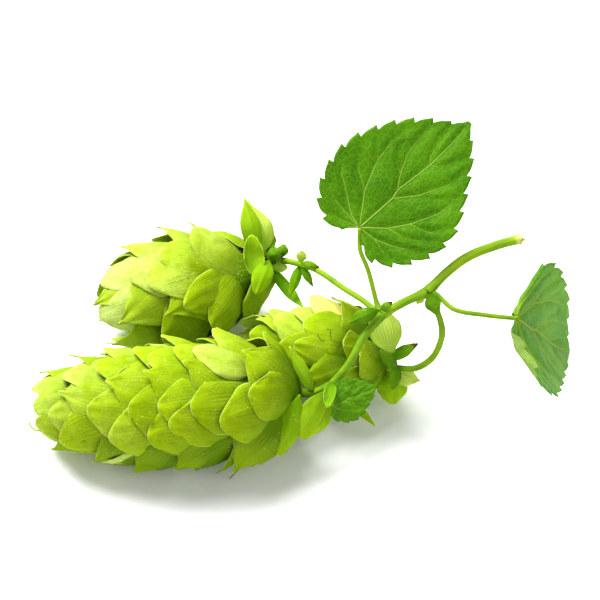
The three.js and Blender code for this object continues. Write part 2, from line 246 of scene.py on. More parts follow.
class Paint:
    """One material and its nodes."""

    def __init__(self, name):
        self.material = bpy.data.materials.new(name)
        self.material.use_nodes = True
        self.tree = self.material.node_tree
        self.tree.nodes.clear()
        self.coordinates = None

    def node(self, kind, settings=None, sockets=None):
        """Any node: its type, its settings, then the values or links of its sockets."""
        made = self.tree.nodes.new(kind)
        for key, value in (settings or {}).items():
            setattr(made, key, value)
        for key, value in (sockets or {}).items():
            if isinstance(value, Wire):
                self.tree.links.new(value.socket, made.inputs[key])
            else:
                made.inputs[key].default_value = value
        return made

    def wire(self, node, output=0):
        """One output of a node as a value for expressions."""
        return Wire(self, node.outputs[output])

    def math(self, operation, *values, clamp=False):
        """One Math node."""
        settings = {"operation": operation, "use_clamp": clamp}
        return self.wire(self.node("ShaderNodeMath", settings, dict(enumerate(values))))

    def ramp(self, value, low, high):
        """0 below low, 1 above high."""
        sockets = {"Value": value, "From Min": low, "From Max": high}
        made = self.node("ShaderNodeMapRange", {"interpolation_type": "SMOOTHSTEP"}, sockets)
        return self.wire(made, "Result")

    def mix(self, part, first, second):
        """Two colours mixed."""
        sockets = {MIX_PART: part}
        for index, value in ((MIX_FIRST, first), (MIX_SECOND, second)):
            sockets[index] = value if isinstance(value, Wire) else (*value, 1)
        return self.wire(self.node("ShaderNodeMix", {"data_type": "RGBA"}, sockets), MIX_RESULT)

    def place(self):
        """Where a point is on the object, in metres."""
        if self.coordinates is None:
            self.coordinates = self.wire(self.node("ShaderNodeTexCoord"), "Object")
        return self.coordinates

    def speckle(self, scale, detail):
        """Soft noise from 0 to 1."""
        sockets = {"Vector": self.place(), "Scale": scale, "Detail": detail}
        return self.wire(self.node("ShaderNodeTexNoise", None, sockets), "Fac")

    def cells(self, scale, feature="F1", vector=None):
        """How far a point is from the middle, or from the edge, of its cell."""
        sockets = {"Vector": vector or self.place(), "Scale": scale}
        made = self.node("ShaderNodeTexVoronoi", {"feature": feature}, sockets)
        return self.wire(made, "Distance")

    def map(self):
        """The three numbers kept on each vertex, together and one by one."""
        made = self.node("ShaderNodeAttribute", {"attribute_name": MAP_NAME})
        spot = self.wire(made, "Vector")
        split = self.node("ShaderNodeSeparateXYZ", None, {0: spot})
        return spot, self.wire(split, 0), self.wire(split, 1), self.wire(split, 2)

    def relief(self, height, depth, strength):
        """A normal from a height that varies by depth metres."""
        sockets = {"Height": height, "Distance": depth, "Strength": strength}
        return self.wire(self.node("ShaderNodeBump", None, sockets))

    def finish(self, colour, roughness, normal, gloss, through=None, through_part=0.0):
        """The surface, with light shining through where it is thin."""
        sockets = {"Base Color": colour, "Roughness": roughness, "Normal": normal,
                   "Specular IOR Level": gloss}
        surface = self.wire(self.node("ShaderNodeBsdfPrincipled", None, sockets))
        if through is not None:
            glow = self.node("ShaderNodeBsdfTranslucent", None, {"Color": (*through, 1)})
            sockets = {0: through_part, 1: surface, 2: self.wire(glow)}
            surface = self.wire(self.node("ShaderNodeMixShader", None, sockets))
        self.node("ShaderNodeOutputMaterial", None, {"Surface": surface})
        return self.material


def bract_finish(name, fresh, deep, pale, through, glow, vein_count=9.0, brown=0.0, stripes=0.15):
    """A papery bract: fine lengthwise veins, a thin pale rim and yellow dust, with painted shade
    towards its base and in the hollows of its crinkles, and a painted highlight where its tone is
    high and towards its tip.

    brown is how much of its length is dry, and stripes how plain its veins are.
    """
    paint = Paint(name)
    _, across, along, tone = paint.map()
    cloud = paint.speckle(180, 3)
    grain = paint.speckle(2600, 2)
    bend = (cloud - 0.5) * 1.2
    spread = across * (1.0 - 0.25 * along)
    line = paint.math("SINE", (spread + bend * 0.1) * (vein_count * math.pi))
    fine = paint.math("SINE", (spread + bend * 0.07) * (2.6 * vein_count * math.pi))
    fade = paint.ramp(abs(across), 0.98, 0.7) * paint.ramp(along, 1.0, 0.75)
    vein = paint.ramp(abs(line), 0.45, 0.0) * fade * paint.ramp(cloud, 0.3, 0.55)
    thread = paint.ramp(fine, 0.1, 1.0) * fade
    net = paint.ramp(paint.cells(1100, "DISTANCE_TO_EDGE"), 0.14, 0.0)
    crinkle = paint.speckle(650, 3)
    # Painted shade: darker towards each bract's base, where the next bract overlaps it; tone and
    # cloud add the cone's painted light and a random spread.
    body = paint.math("ADD", along * 0.95 - 0.4, tone * 0.55 + cloud * 0.5 - 0.2, clamp=True)
    # Painted highlight: paler where the tone is high and towards each bract's tip.
    light = paint.ramp(tone + along * 0.4 + (cloud - 0.5) * 0.6, 0.9, 2.3)
    colour = paint.mix(body, deep, fresh)
    colour = paint.mix(light, colour, pale)
    # Darker fine veins and net, and painted shade in the hollows of the crinkled relief.
    dark_veins_and_hollow_shade = thread * 0.12 + net * 0.1 + paint.ramp(crinkle, 0.55, 0.3) * 0.22
    colour = paint.mix(dark_veins_and_hollow_shade, colour, deep)
    colour = paint.mix(vein * stripes, colour, pale)
    colour = paint.mix(paint.ramp(grain, 0.45, 0.75) * 0.3, colour, deep)
    side_rim, end_rim = paint.ramp(abs(across), 0.965, 0.995), paint.ramp(along, 0.982, 1.0)
    colour = paint.mix(paint.math("MAXIMUM", side_rim, end_rim) * 0.55, colour, pale)
    dots = paint.ramp(paint.cells(1500), 0.2, 0.12) * paint.ramp(paint.speckle(320, 1), 0.54, 0.66)
    colour = paint.mix(dots * 0.6, colour, YELLOW_DUST)
    if brown:
        tip = paint.ramp(along + (cloud - 0.5) * 0.2, 1.0 - brown, 1.0 - brown * 0.55)
        colour = paint.mix(tip, colour, DRY_BROWN)
    height = vein * 0.4 + thread * 0.22 + net * 0.15 + grain * 0.3 + dots * 0.6 + crinkle * 1.1
    rough = 0.66 - dots * 0.25 + grain * 0.1
    normal = paint.relief(height, BRACT_RELIEF, 0.8)
    return paint.finish(colour, rough, normal, 0.04, through, glow)


def leaf_finish(name, fresh, deep, pale, through, glow, gloss, roughness):
    """A leaf blade: paler by its veins, with a fine net between them."""
    paint = Paint(name)
    spot, _, _, distance = paint.map()
    cloud = paint.speckle(120, 3)
    grain = paint.speckle(3200, 2)
    warp = paint.speckle(500, 1)
    net = paint.ramp(paint.cells(0.8, "DISTANCE_TO_EDGE", spot), 0.13, 0.02)
    fine = paint.ramp(paint.cells(2.2, "DISTANCE_TO_EDGE", spot), 0.16, 0.03)
    colour = paint.mix(paint.ramp(cloud, 0.3, 0.7), deep, fresh)
    colour = paint.mix(paint.ramp(distance, 0.7, 0.05) * 0.35, colour, fresh)
    colour = paint.mix((net * 0.55 + fine * 0.2) * 0.5, colour, pale)
    colour = paint.mix(paint.ramp(grain, 0.5, 0.8) * 0.3, colour, deep)
    swell = 0.6 * paint.ramp(distance, 0.0, 1.2)
    height = swell + grain * 0.15 - net * 0.35 - fine * 0.12 + warp * 0.1
    normal = paint.relief(height, LEAF_RELIEF, 0.8)
    rough = roughness + grain * 0.12 - net * 0.05
    return paint.finish(colour, rough, normal, gloss, through, glow)


def vein_finish(name, pale):
    """Leaf ribs and hairs: one colour, smooth and slightly uneven."""
    paint = Paint(name)
    cloud = paint.speckle(700, 2)
    colour = paint.mix(cloud * 0.5, pale, tuple(0.62 * c for c in pale))
    normal = paint.relief(paint.speckle(2500, 2), VEIN_RELIEF, 0.5)
    through = tuple(0.8 * c for c in pale)
    return paint.finish(colour, 0.55 + cloud * 0.1, normal, 0.12, through, 0.25)


def stem_finish(name, fresh, deep, blush=0.0):
    """A green stalk with fine lengthwise ridges; it can have a brown blush under its cut end."""
    paint = Paint(name)
    _, across, along, chance = paint.map()
    line = paint.math("SINE", across * (11 * math.pi))
    cloud = paint.speckle(260, 3)
    grain = paint.speckle(3000, 2)
    colour = paint.mix(paint.ramp(cloud + chance, 0.25, 0.9), fresh, deep)
    colour = paint.mix(paint.ramp(line, 0.2, 1.0) * 0.2, colour, STEM_STREAK)
    colour = paint.mix(paint.ramp(grain, 0.58, 0.75) * 0.35, colour, deep)
    if blush:
        under = paint.ramp(abs(across - STEM_UNDERSIDE), 0.34, 0.08)
        near_end = paint.ramp(along + cloud * 0.1, blush + 0.1, 0.02)
        colour = paint.mix(under * near_end * 0.7, colour, STEM_BLUSH)
        colour = paint.mix(paint.ramp(along, 0.05, 0.0), colour, STEM_CUT)
    normal = paint.relief(line * 0.25 + grain * 0.5 + cloud * 0.5, STEM_RELIEF, 0.8)
    return paint.finish(colour, 0.5 + grain * 0.15, normal, 0.1, fresh, 0.12)


# ---------------------------------------------------------------- bracts

BRACT_COLUMNS = 14
BRACT_ROWS = 16
# About a full turn, in radians.
RIPPLE = 6.28


def pointed_outline(x, y):
    """An egg shape drawn out to a small sharp point."""
    narrow = 1 - 0.5 * smooth((y - 0.55) / 0.35) - 0.32 * smooth((y - 0.8) / 0.16)
    belly = 1.14 - 0.2 * abs(y - 0.45)
    return x * 0.5 * belly * narrow * (0.5 + 0.5 * smooth(y / 0.3)), y


def round_outline(x, y):
    """An egg shape, blunt at its free end."""
    belly = (0.96 + 0.12 * smooth(y / 0.6)) * (1 - 0.3 * smooth((y - 0.66) / 0.34))
    return x * 0.5 * belly * (0.45 + 0.55 * smooth(y / 0.34)), y


def lance_outline(x, y):
    """A narrow blade, long in its point."""
    narrow = 1 - 0.6 * smooth((y - 0.5) / 0.5)
    return x * 0.5 * 1.12 * narrow * (0.5 + 0.5 * smooth(y / 0.25)), y


OUTLINES = {"pointed": pointed_outline, "round": round_outline, "lance": lance_outline}
blanks = {}


def flat_bract(style):
    """The flat bract of one style, one wide and one long, drawn once and copied after that."""
    if style not in blanks:
        item = grid(BRACT_COLUMNS, BRACT_ROWS)
        spots = []
        for vertex in item.data.vertices:
            u, v = vertex.co.x, vertex.co.y
            x = u * math.sqrt(1 - v * v / 2)
            y = v * math.sqrt(1 - u * u / 2)
            spots.append((u, (v + 1) / 2, 0))
            vertex.co = (*OUTLINES[style](x, (y + 1) / 2), 0)
        write_map(item.data, spots)
        blanks[style] = item.data
        bpy.data.objects.remove(item)
    return blanks[style]


def lay_bract(style, route, side, width, fold, lift, wave, twist, pleat, tone, seed):
    """A copy of a flat bract, bent along a route.

    fold is how far its edges turn back and twist how far it turns along its length, in radians.
    lift is how far its tip bends outwards, wave how far its edges swing and pleat how deep its
    lengthwise furrows are, in millimetres. tone is kept for its material, where it sets the
    painted highlight and painted shade as well as a random spread.
    """
    draw = random.Random(seed)
    phase = draw.uniform(0, RIPPLE)
    ripples = draw.uniform(1.2, 2.4)
    tone += draw.uniform(-0.15, 0.15)
    mesh = flat_bract(style).copy()
    spots = mesh.attributes[MAP_NAME].data
    radius = width / 2 / fold
    for vertex, spot in zip(mesh.vertices, spots):
        x, y = vertex.co.x * width, min(1.0, max(0.0, vertex.co.y))
        u = spot.vector.x
        middle, along = route.at(y)
        beside = crosswise(side, along)
        out = beside.cross(along)
        turn = twist * (y - 0.35)
        beside, out = (beside * math.cos(turn) + out * math.sin(turn),
                       out * math.cos(turn) - beside * math.sin(turn))
        height = -radius * (1 - math.cos(x / radius))
        height += lift * smooth((y - 0.68) / 0.32) ** 2
        height += wave * u * abs(u) * math.sin(RIPPLE * ripples * y + phase) * smooth(y / 0.3)
        furrow = math.cos(u * 9.4 + phase) + 0.6 * math.cos(u * 17 + 2 * phase)
        height += pleat * furrow * (1 - u * u) * smooth((y - 0.1) / 0.3)
        height += 0.03 * width * noise.noise(Vector((3 * u, 5 * y, seed)))
        point = middle + beside * radius * math.sin(x / radius) + out * height
        vertex.co = (point + SPRIG_SHIFT) * MM
        spot.vector = (u, spot.vector.y, tone)
    return new_object(mesh)


# How a bract lies on its cone: the part of its length that shows, how far its middle swells and
# how far before its shoulder its foot is, in millimetres.
BLADE_PART, BULGE, FOOT_LENGTH = 0.8, 0.4, 2.5


class Cone:
    """A hop cone: its line, its outline and how its bracts lie on it.

    The outline is the cone's radius in millimetres at 0 to 1 along it, and slope is how steeply
    a bract runs in towards its base.
    """

    def __init__(self, base, tip, outline, slope=0.25, bow=0.0, bow_way=(0, 0, 0)):
        self.base = Vector(base)
        self.way = (Vector(tip) - self.base).normalized()
        self.length = (Vector(tip) - self.base).length
        self.outline = outline
        self.slope = slope
        self.bow = Vector(bow_way) * bow
        self.front = crosswise(FACING, self.way)
        self.top = crosswise(OVER - self.front * OVER.dot(self.front), self.way)

    def middle(self, s):
        """The point of the cone's line that is s from its base."""
        u = s / self.length
        return self.base + self.way * s + self.bow * (4 * u * (1 - u))

    def radius(self, s):
        """How thick the cone is there."""
        return profile(self.outline, s / self.length)

    def radial(self, angle):
        """The way out from the line at an angle in degrees."""
        turn = math.radians(angle)
        return self.front * math.cos(turn) + self.top * math.sin(turn)

    def shell(self, s, angle, depth):
        """A point depth under the cone's outline."""
        step = 0.6
        rise = (self.radius(s + step) - self.radius(s - step)) / (2 * step)
        radial = self.radial(angle)
        normal = (radial - self.way * rise).normalized()
        return self.middle(s) + radial * self.radius(s) - normal * depth

    def bract(self, style, s, angle, lean, length, width, stand, lift, tone, seed,
              twist=0.0, wave=0.22):
        """A bract whose tip is s from the cone's base, at an angle round it."""
        shoulder = max(0.7, s - BLADE_PART * length)
        half = (shoulder + s) / 2
        foot = max(0.3, shoulder - FOOT_LENGTH)
        base_angle = angle + lean
        slope = self.slope * (0.2 + 0.8 * smooth((shoulder - 0.7) / 3.5))
        points = [
            self.middle(foot) + self.radial(base_angle) * 0.6,
            self.shell(shoulder, base_angle, slope * (s - shoulder) + 0.2),
            self.shell(half, angle + lean * 0.5, slope * (s - half) - BULGE),
            self.shell(s, angle, -stand),
        ]
        route = Route(points, (0.0, 0.22, 0.6, 1.0))
        side = (points[3] - points[1]).normalized().cross(self.radial(angle + lean * 0.5))
        fold = width / 2 / (0.56 * self.radius(half) + 1.6)
        return lay_bract(style, route, side, width, fold, lift, wave, twist, 0.08, tone, seed)


# ---------------------------------------------------------------- the three cones

FRONT_CONE = Cone(
    (0.5, -12, 13), (-52.5, -12.5, 9),
    ((0, 2.5), (0.04, 7.5), (0.1, 10.6), (0.22, 12.4), (0.42, 12.7), (0.6, 12.1), (0.76, 10.4),
     (0.9, 7.6), (1, 3.5)),
    slope=0.25, bow=1.0, bow_way=(0, -1.83, 0.6))
# Each bract: style, its tip's distance from the cone's base, angle round the cone, lean, length,
# width, how far it stands out, lift of its tip, tone. The tone has a random spread and paints
# light: high on a cone's upper side and towards its tip as painted highlight, low on its
# underside as painted shade.
FRONT_BRACTS = (
    ("pointed", 48.3, -76, 30, 12, 9.5, 0.8, 0.2, -0.1),
    ("pointed", 40.5, -68, 26, 15, 13, 0.2, 0.3, -0.2),
    ("pointed", 33.1, -80, 40, 16, 14, 0.6, 0.3, -0.3),
    ("pointed", 24.8, -66, 28, 16, 14, 0.3, 0.3, -0.3),
    ("pointed", 17.5, -86, 8, 15, 11, 0.9, 0.3, -0.5),
    ("pointed", 14.2, -80, 40, 13, 10, 1.2, 0.3, 0.1),
    ("round", 11.2, -84, 30, 12, 11, 0.6, 0, -0.2),
    ("round", 29.4, -96, 10, 15, 13, 0.2, 0, -0.8),
    ("round", 21.6, -98, 10, 15, 13, 0.2, 0, -0.8),
    ("round", 37.2, -96, 10, 15, 12, 0, 0, -0.8),
    ("round", 51.2, -34, 10, 9, 7, 0, 0, 0.75),
    ("round", 45.9, -46, 26, 13, 11.4, 0.6, -0.2, 0.75),
    ("round", 36.1, -28, 6, 15, 11.4, 0, -0.2, 0.6),
    ("round", 28.6, -26, 6, 15, 11.4, 0, -0.2, 0.5),
    ("round", 24.4, -13, -8, 16, 10.4, 0, -0.2, 0.45),
    ("round", 14.9, -15, 0, 15, 12, 0.3, -0.2, 0.55),
    ("round", 51.3, 4, 12, 9, 8, 0, -0.1, 0.9),
    ("round", 47.8, -6, -8, 11.5, 9.4, 0, -0.1, 0.85),
    ("round", 39.9, 1, -10, 14, 10.6, 0, -0.2, 0.65),
    ("round", 31.8, 2, -8, 14, 11, 0, -0.2, 0.5),
    ("round", 26.2, 2, 0, 14.5, 10.4, 0, -0.2, 0.4),
    ("round", 20.1, 0, 0, 15, 12, 0.2, -0.2, 0.4),
    ("round", 9.4, 9, -14, 11.5, 9.4, 1.0, -0.2, 0.4),
    ("pointed", 45.3, 23, -14, 15, 13.6, 0, 0.5, 0.8),
    ("pointed", 36, 29, -12, 16, 14.6, 0, 0.6, 0.65),
    ("pointed", 28.9, 34, -14, 16, 14.4, 0, 0.6, 0.25),
    ("pointed", 21.4, 41, -24, 16.5, 14.4, 0.1, 0.6, 0.2),
    ("pointed", 10.6, 50, -30, 13, 12.6, 0.1, 0.6, 0.35),
    ("round", 45.1, 47, 16, 13, 10, 0, 0, 1.15),
    ("round", 38.3, 48, 12, 14, 11, 0, 0, 0.85),
    ("round", 31.3, 68, -2, 14, 11.6, 0, 0, 0.75),
    ("round", 28.2, 50, 0, 14, 11, 0, 0, 0.7),
    ("round", 23.4, 60, -8, 14.5, 10.6, 0, 0.1, 0.8),
    ("round", 19.7, 54, 2, 14.5, 11, 0.1, 0, 1.0),
    ("round", 16.4, 86, -20, 14.5, 10, 1.6, 0, 0.9),
    ("round", 26.2, 91, -6, 14, 8.4, 1.5, -0.5, 0.7),
    ("pointed", 44.2, 88, -4, 14, 10, 0.8, 0.4, 0.4),
    ("pointed", 50.1, 84, -6, 12, 9, 0.7, 0.4, 0.7),
    ("round", 51.8, 58, 0, 10, 8.6, 0, 0, 1.2),
    ("round", 37.6, 86, -8, 14, 10.6, 0.3, 0.2, 0.9),
    ("round", 7.4, 84, -10, 9, 6.4, 1.2, 0.4, 0.6),
)
UPPER_CONE = Cone(
    (-4.5, 20.5, 14.4), (-41.5, 11.5, 8.6),
    ((0, 2.5), (0.06, 4.6), (0.2, 9), (0.44, 12.6), (0.69, 12.4), (0.86, 9.6), (0.95, 6.6),
     (1, 4.5)),
    slope=0.26)
UPPER_BRACTS = (
    ("round", 15.8, 55, -26, 15.5, 13.6, 1.1, 0.3, 0.95),
    ("round", 20.6, -14, 2, 17, 8.6, 1.2, 0.1, 0.5),
    ("pointed", 24.6, -18, 22, 19, 13.5, 0.4, 0.4, 0.7),
    ("round", 16.7, -44, 14, 16, 12.5, 0.6, 0.3, 0.45),
    ("round", 26.1, 13, 18, 19, 14, 0.3, -0.1, 1.0),
    ("pointed", 29.7, 82, -30, 18, 12.5, 0.8, 0.4, 0.95),
    ("pointed", 21.8, 88, -8, 15, 11.5, 1.4, 0.1, 0.95),
    ("pointed", 16.1, 96, -4, 12, 8, 1.0, 0.5, 0.8),
    ("pointed", 37.8, 20, 10, 16, 10.5, 0.3, 0.4, 1.0),
    ("pointed", 33.7, -19, 34, 19, 14, 0.4, 0.4, 0.8),
    ("pointed", 37.6, -80, 16, 15, 13, 0.3, 0.4, 0.8),
    ("round", 37.8, -4, 6, 13, 11, -0.2, 0, 1.4),
    ("round", 35.6, 52, -4, 14, 12, 0, 0, 1.2),
    ("round", 26.5, -48, 24, 17, 13, -0.1, 0, 0.3),
    ("round", 22.6, 40, -10, 15, 11, -0.3, 0, 0.8),
    ("round", 29.6, 30, 0, 15, 12, -0.4, 0, 1.0),
    ("round", 9.6, -78, 20, 9, 8, 0.2, 0, 0.2),
)
MIDDLE_CONE = Cone(
    (17.5, -4, 10.8), (-12.5, 6, 10.2),
    ((0, 2.5), (0.06, 5.5), (0.16, 9.2), (0.3, 11.0), (0.45, 10.1), (0.6, 7.6), (0.75, 6),
     (0.9, 4.4), (1, 2.5)),
    slope=0.24)
MIDDLE_BRACTS = (
    ("round", 16, 25, 10, 13, 10.6, 1.6, 0.1, 0.5),
    ("round", 16.1, 2, -4, 13, 7.6, 2.4, 0.1, 0.35),
    ("round", 12.9, -29, 20, 10, 7.6, 1.6, 0.1, 0.2),
    ("pointed", 26.9, 32, 40, 14, 10, 1.0, 0.2, 0.7),
    ("round", 23.2, 38, -18, 13, 9.4, 1.0, 0.1, 0.8),
    ("round", 25.7, 72, 0, 12, 10, 0.6, -0.1, 0.85),
    ("round", 20.9, 64, 6, 12, 10, 0.6, -0.1, 0.85),
    ("round", 8.4, 12, 8, 7, 7.0, 2.0, 0, 0.3),
    ("round", 5.2, 6, 4, 6.2, 8.2, 1.8, -0.1, 0.4),
    ("round", 21, -7, 0, 12, 9, 0.4, 0.1, 0.3),
    ("round", 27.6, 2, 8, 11, 8, 0.4, 0.1, 0.2),
    ("pointed", 11.6, 64, -10, 9, 7, 1.2, 0.2, 0.4),
    ("round", 14.5, 96, 0, 11, 8, 1.0, 0.1, 0.8),
    ("round", 8, -40, 10, 8, 7, 1.0, 0.1, 0.1),
)
YELLOW_BRACT = ("round", 17.1, 76, -16, 13, 11.5, 2.2, 0, 0.7)
# The whorls of bracts that aren't listed: from one to the next and from the cone's base to the
# first, in millimetres, and how many bracts each has, with their size and the lift of their tips.
WHORL_STEP, WHORL_START, WHORL_BRACTS = 4.5, 2.5, 6
FREE_LENGTH, FREE_WIDTH = 13, 10.5
FREE_LIFT = {"pointed": 0.7, "round": -0.25}
FREE_SEEDS = 100


# Each cone: its line, its listed bracts, how many pieces it is kept as, the size of the bracts
# that aren't listed, the middle and half of the sector that the listed ones cover, in degrees,
# and its seed.
CONES = {
    "front": (FRONT_CONE, FRONT_BRACTS, 12, 1.0, (8, 88), 11),
    "upper": (UPPER_CONE, UPPER_BRACTS, 7, 1.12, (5, 90), 47),
    "middle": (MIDDLE_CONE, MIDDLE_BRACTS, 6, 0.95, (20, 85), 83),
}


def whorled(name, thickness):
    """Makes a cone's bracts: the listed ones, then whorls of others where none are listed."""
    cone, listed, pieces, size, (sector, half_sector), seed = CONES[name]
    groups = {}
    draw = random.Random(seed)

    def keep(s, item):
        index = min(pieces - 1, int(s / cone.length * pieces))
        groups.setdefault(max(0, index), []).append(item)

    for number, (style, s, *numbers, lift, tone) in enumerate(listed):
        twist = draw.uniform(-0.12, 0.12)
        keep(s, cone.bract(style, s, *numbers, lift, tone, seed + number, twist,
                           draw.uniform(0.1, 0.35)))
    step = WHORL_STEP * size
    for whorl in range(1, int(cone.length / step) + 1):
        s = whorl * step + WHORL_START
        for turn in range(WHORL_BRACTS):
            angle = 60 * turn + 30 * (whorl % 2) - 0.6 * s + draw.uniform(-5, 5)
            if abs((angle + 180 - sector) % 360 - 180) < half_sector:
                continue
            style = "pointed" if turn % 3 == 0 else "round"
            part = 0.55 + 0.45 * smooth(cone.radius(s) / 9)
            jitter = draw.uniform(-1, 1)
            twist, wave = draw.uniform(-0.1, 0.1), draw.uniform(0.1, 0.4)
            # Paler towards the cone's tip: painted highlight, on top of a random spread.
            tone = draw.uniform(0.2, 0.9) + 0.5 * s / cone.length
            keep(s, cone.bract(style, min(s + jitter, cone.length + 0.5), angle, 0,
                               FREE_LENGTH * size * part, FREE_WIDTH * size * part, 0,
                               FREE_LIFT[style], tone,
                               seed + FREE_SEEDS + whorl * WHORL_BRACTS + turn, twist, wave))
    for index in sorted(groups):
        piece = join(groups[index], f"{name}_cone_whorl_{index + 1}")
        thicken(piece, thickness)
        settle(piece, [f"cone_{name}"], [finishes()["hop_cone_bract"]])


# ---------------------------------------------------------------- loose bracts

# Each bract: node, base, tip, side it faces, width, style, arch, fold, lift, finish.
LOOSE = (
    ("stipule_a_front", (24.1, -2.6, 30.7), (26, -5.5, 27.9),
     FORWARDS, 3.2, "lance", 0.16, 0.8, 0.2, "bract_dark"),
    ("stipule_a_back", (23.3, -1.5, 28.9), (22.2, -1.7, 26.8),
     FORWARDS, 1.5, "lance", 0.1, 0.5, 0.1, "bract_pale"),
    ("stipule_b_left", (14.8, -5, 28.8), (9.2, -6, 26.3),
     UPWARDS, 3.2, "lance", 0.24, 1.0, -0.2, "bract_dark"),
    ("stipule_b_right", (15.3, -4.4, 27.9), (17.3, -4, 30.1),
     UPWARDS, 1.7, "lance", 0.1, 0.5, 0.2, "bract_brown_tip"),
    ("stipule_c_front", (6, -14.7, 19.7), (5, -20.6, 19),
     UPWARDS, 2.3, "round", 0.1, -0.8, 0.2, "bract"),
    ("stipule_c_back", (9.1, -15.4, 15.4), (14.2, -19.6, 12.2),
     UPWARDS, 1.5, "lance", 0.1, 0.5, 0.3, "bract_fresh"),
    ("peduncle_bract_pale", (0.3, 15.3, 20.2), (0.3, 16.7, 22.3),
     UPWARDS, 2.1, "round", 0.1, 0.5, 0.1, "bract_pale"),
    ("peduncle_bract_brown_tip", (0.2, 12.9, 22.7), (3.9, 11.8, 22.6),
     UPWARDS, 1.7, "lance", 0.26, 0.9, 0, "bract_brown_tip"),
    ("peduncle_bract_hanging", (0, 16.7, 18.1), (-2, 12.1, 13.9),
     UPWARDS, 2.3, "lance", 0.1, 0.9, 0.3, "bract"),
    ("peduncle_bract_pointed", (0.2, 15.4, 19.4), (2.6, 12.7, 16.1),
     UPWARDS, 1.6, "lance", 0.1, 0.6, 0.2, "bract_brown_tip"),
    ("upper_bract_tall_pale", (-6.7, 19.7, 16.7), (-10.6, 28.7, 24.5),
     UPWARDS, 6.4, "pointed", 0.12, 0.75, 0.3, "bract_pale"),
    ("upper_bract_tall_green", (-8.7, 18.3, 19), (-11.2, 27.5, 26.5),
     UPWARDS, 4.2, "pointed", 0.1, 0.8, 0.2, "bract_lime"),
    ("upper_bract_triangular", (-6.7, 20.2, 16.2), (-5, 23.6, 19.5),
     RIGHTWARDS, 3.0, "pointed", 0.1, 0.6, 0, "bract_brown_tip"),
    ("upper_bract_curled", (-8.6, 12.6, 18.1), (-9.7, 19.1, 24.1),
     UPWARDS, 5.0, "round", -0.16, -1.25, -0.5, "bract_lime"),
    ("upper_bract_arched", (-6.2, 17.2, 19.1), (-8.9, 9.1, 17.5),
     UPWARDS, 4.4, "round", 0.26, 0.8, -0.4, "bract_lime"),
    ("upper_bract_small", (-6.1, 18.6, 15.2), (-2.5, 19.2, 14.8),
     UPWARDS, 2.2, "round", 0.12, 0.6, 0, "bract_pale"),
    ("upper_bract_hanging", (-6.3, 18.9, 15.4), (0.8, 9.9, 12.5),
     UPWARDS, 2.4, "lance", -0.1, 0.7, 0.3, "bract"),
    ("middle_bract_pale", (17.8, -5, 16), (15, 3.4, 21.5),
     UPWARDS, 6.2, "pointed", 0.1, 0.6, 0.2, "bract_pale"),
    ("middle_bract_brown_tip", (17.4, -4, 13.3), (23, -2.1, 15.7),
     UPWARDS, 2.6, "lance", 0.14, 0.9, 0.2, "bract_brown_tip"),
    ("middle_bract_pointed", (18.2, -5.4, 10.5), (23.6, -6.3, 9.5),
     UPWARDS, 3.6, "pointed", 0.08, 0.6, 0.1, "bract_pale"),
    ("middle_bract_lower", (17.9, -3.9, 10.5), (18.4, -8.2, 4.4),
     FORWARDS, 6.2, "round", 0.14, 0.7, 0, "bract_lime"),
    ("middle_stipule_upper", (18.8, -6.8, 13.9), (15.4, -6, 18.4),
     UPWARDS, 2.7, "lance", 0.12, 0.9, 0, "bract_dark"),
    ("middle_stipule_lower", (18.9, -5.5, 13), (18, -9.4, 10.4),
     UPWARDS, 2.7, "lance", 0.14, 0.9, 0, "bract_dark"),
    ("front_bract_vertical", (0, -15.4, 16.6), (-4.2, -22.4, 6.7),
     FORWARDS, 5.0, "round", 0.12, 0.7, 0.2, "bract_fresh"),
    ("front_bract_hanging", (5.7, -13.8, 16.4), (0.2, -20.7, 9.6),
     FORWARDS, 6.4, "round", 0.1, 0.5, 0, "bract_lime"),
    ("front_bract_upright", (2.5, -13.9, 15.4), (-2, -7.5, 21.3),
     UPWARDS, 2.6, "lance", 0.06, 0.8, 0.3, "bract_lime"),
)
# Each bud: node, base, tip, width; then the turn from one of its five scales to the next.
BUDS = (
    ("upper_bud_dark", (-5.1, 18.1, 16.8), (-5.3, 20.8, 19.9), 3.0),
    ("upper_bud_round", (-3.9, 20.4, 16.2), (-3.1, 22.2, 18.8), 2.1),
)
BUD_TURN = 1.256


def loose_bract(base, tip, out, width, style, arch, fold, lift, seed):
    """One bract that stands on its own; arch is how far its middle bends out, in lengths."""
    base, tip = Vector(base), Vector(tip)
    chord = tip - base
    away = crosswise(out, chord)
    middle = (base + tip) / 2 + away * (arch * chord.length)
    route = Route((base, middle, tip), (0.0, 0.5, 1.0))
    side = chord.normalized().cross(away)
    wave, twist, pleat, tone = 0.05 * width, 0.0, 0.02 * width, 0.5
    return lay_bract(style, route, side, width, fold, lift, wave, twist, pleat, tone, seed)


# ---------------------------------------------------------------- stalks

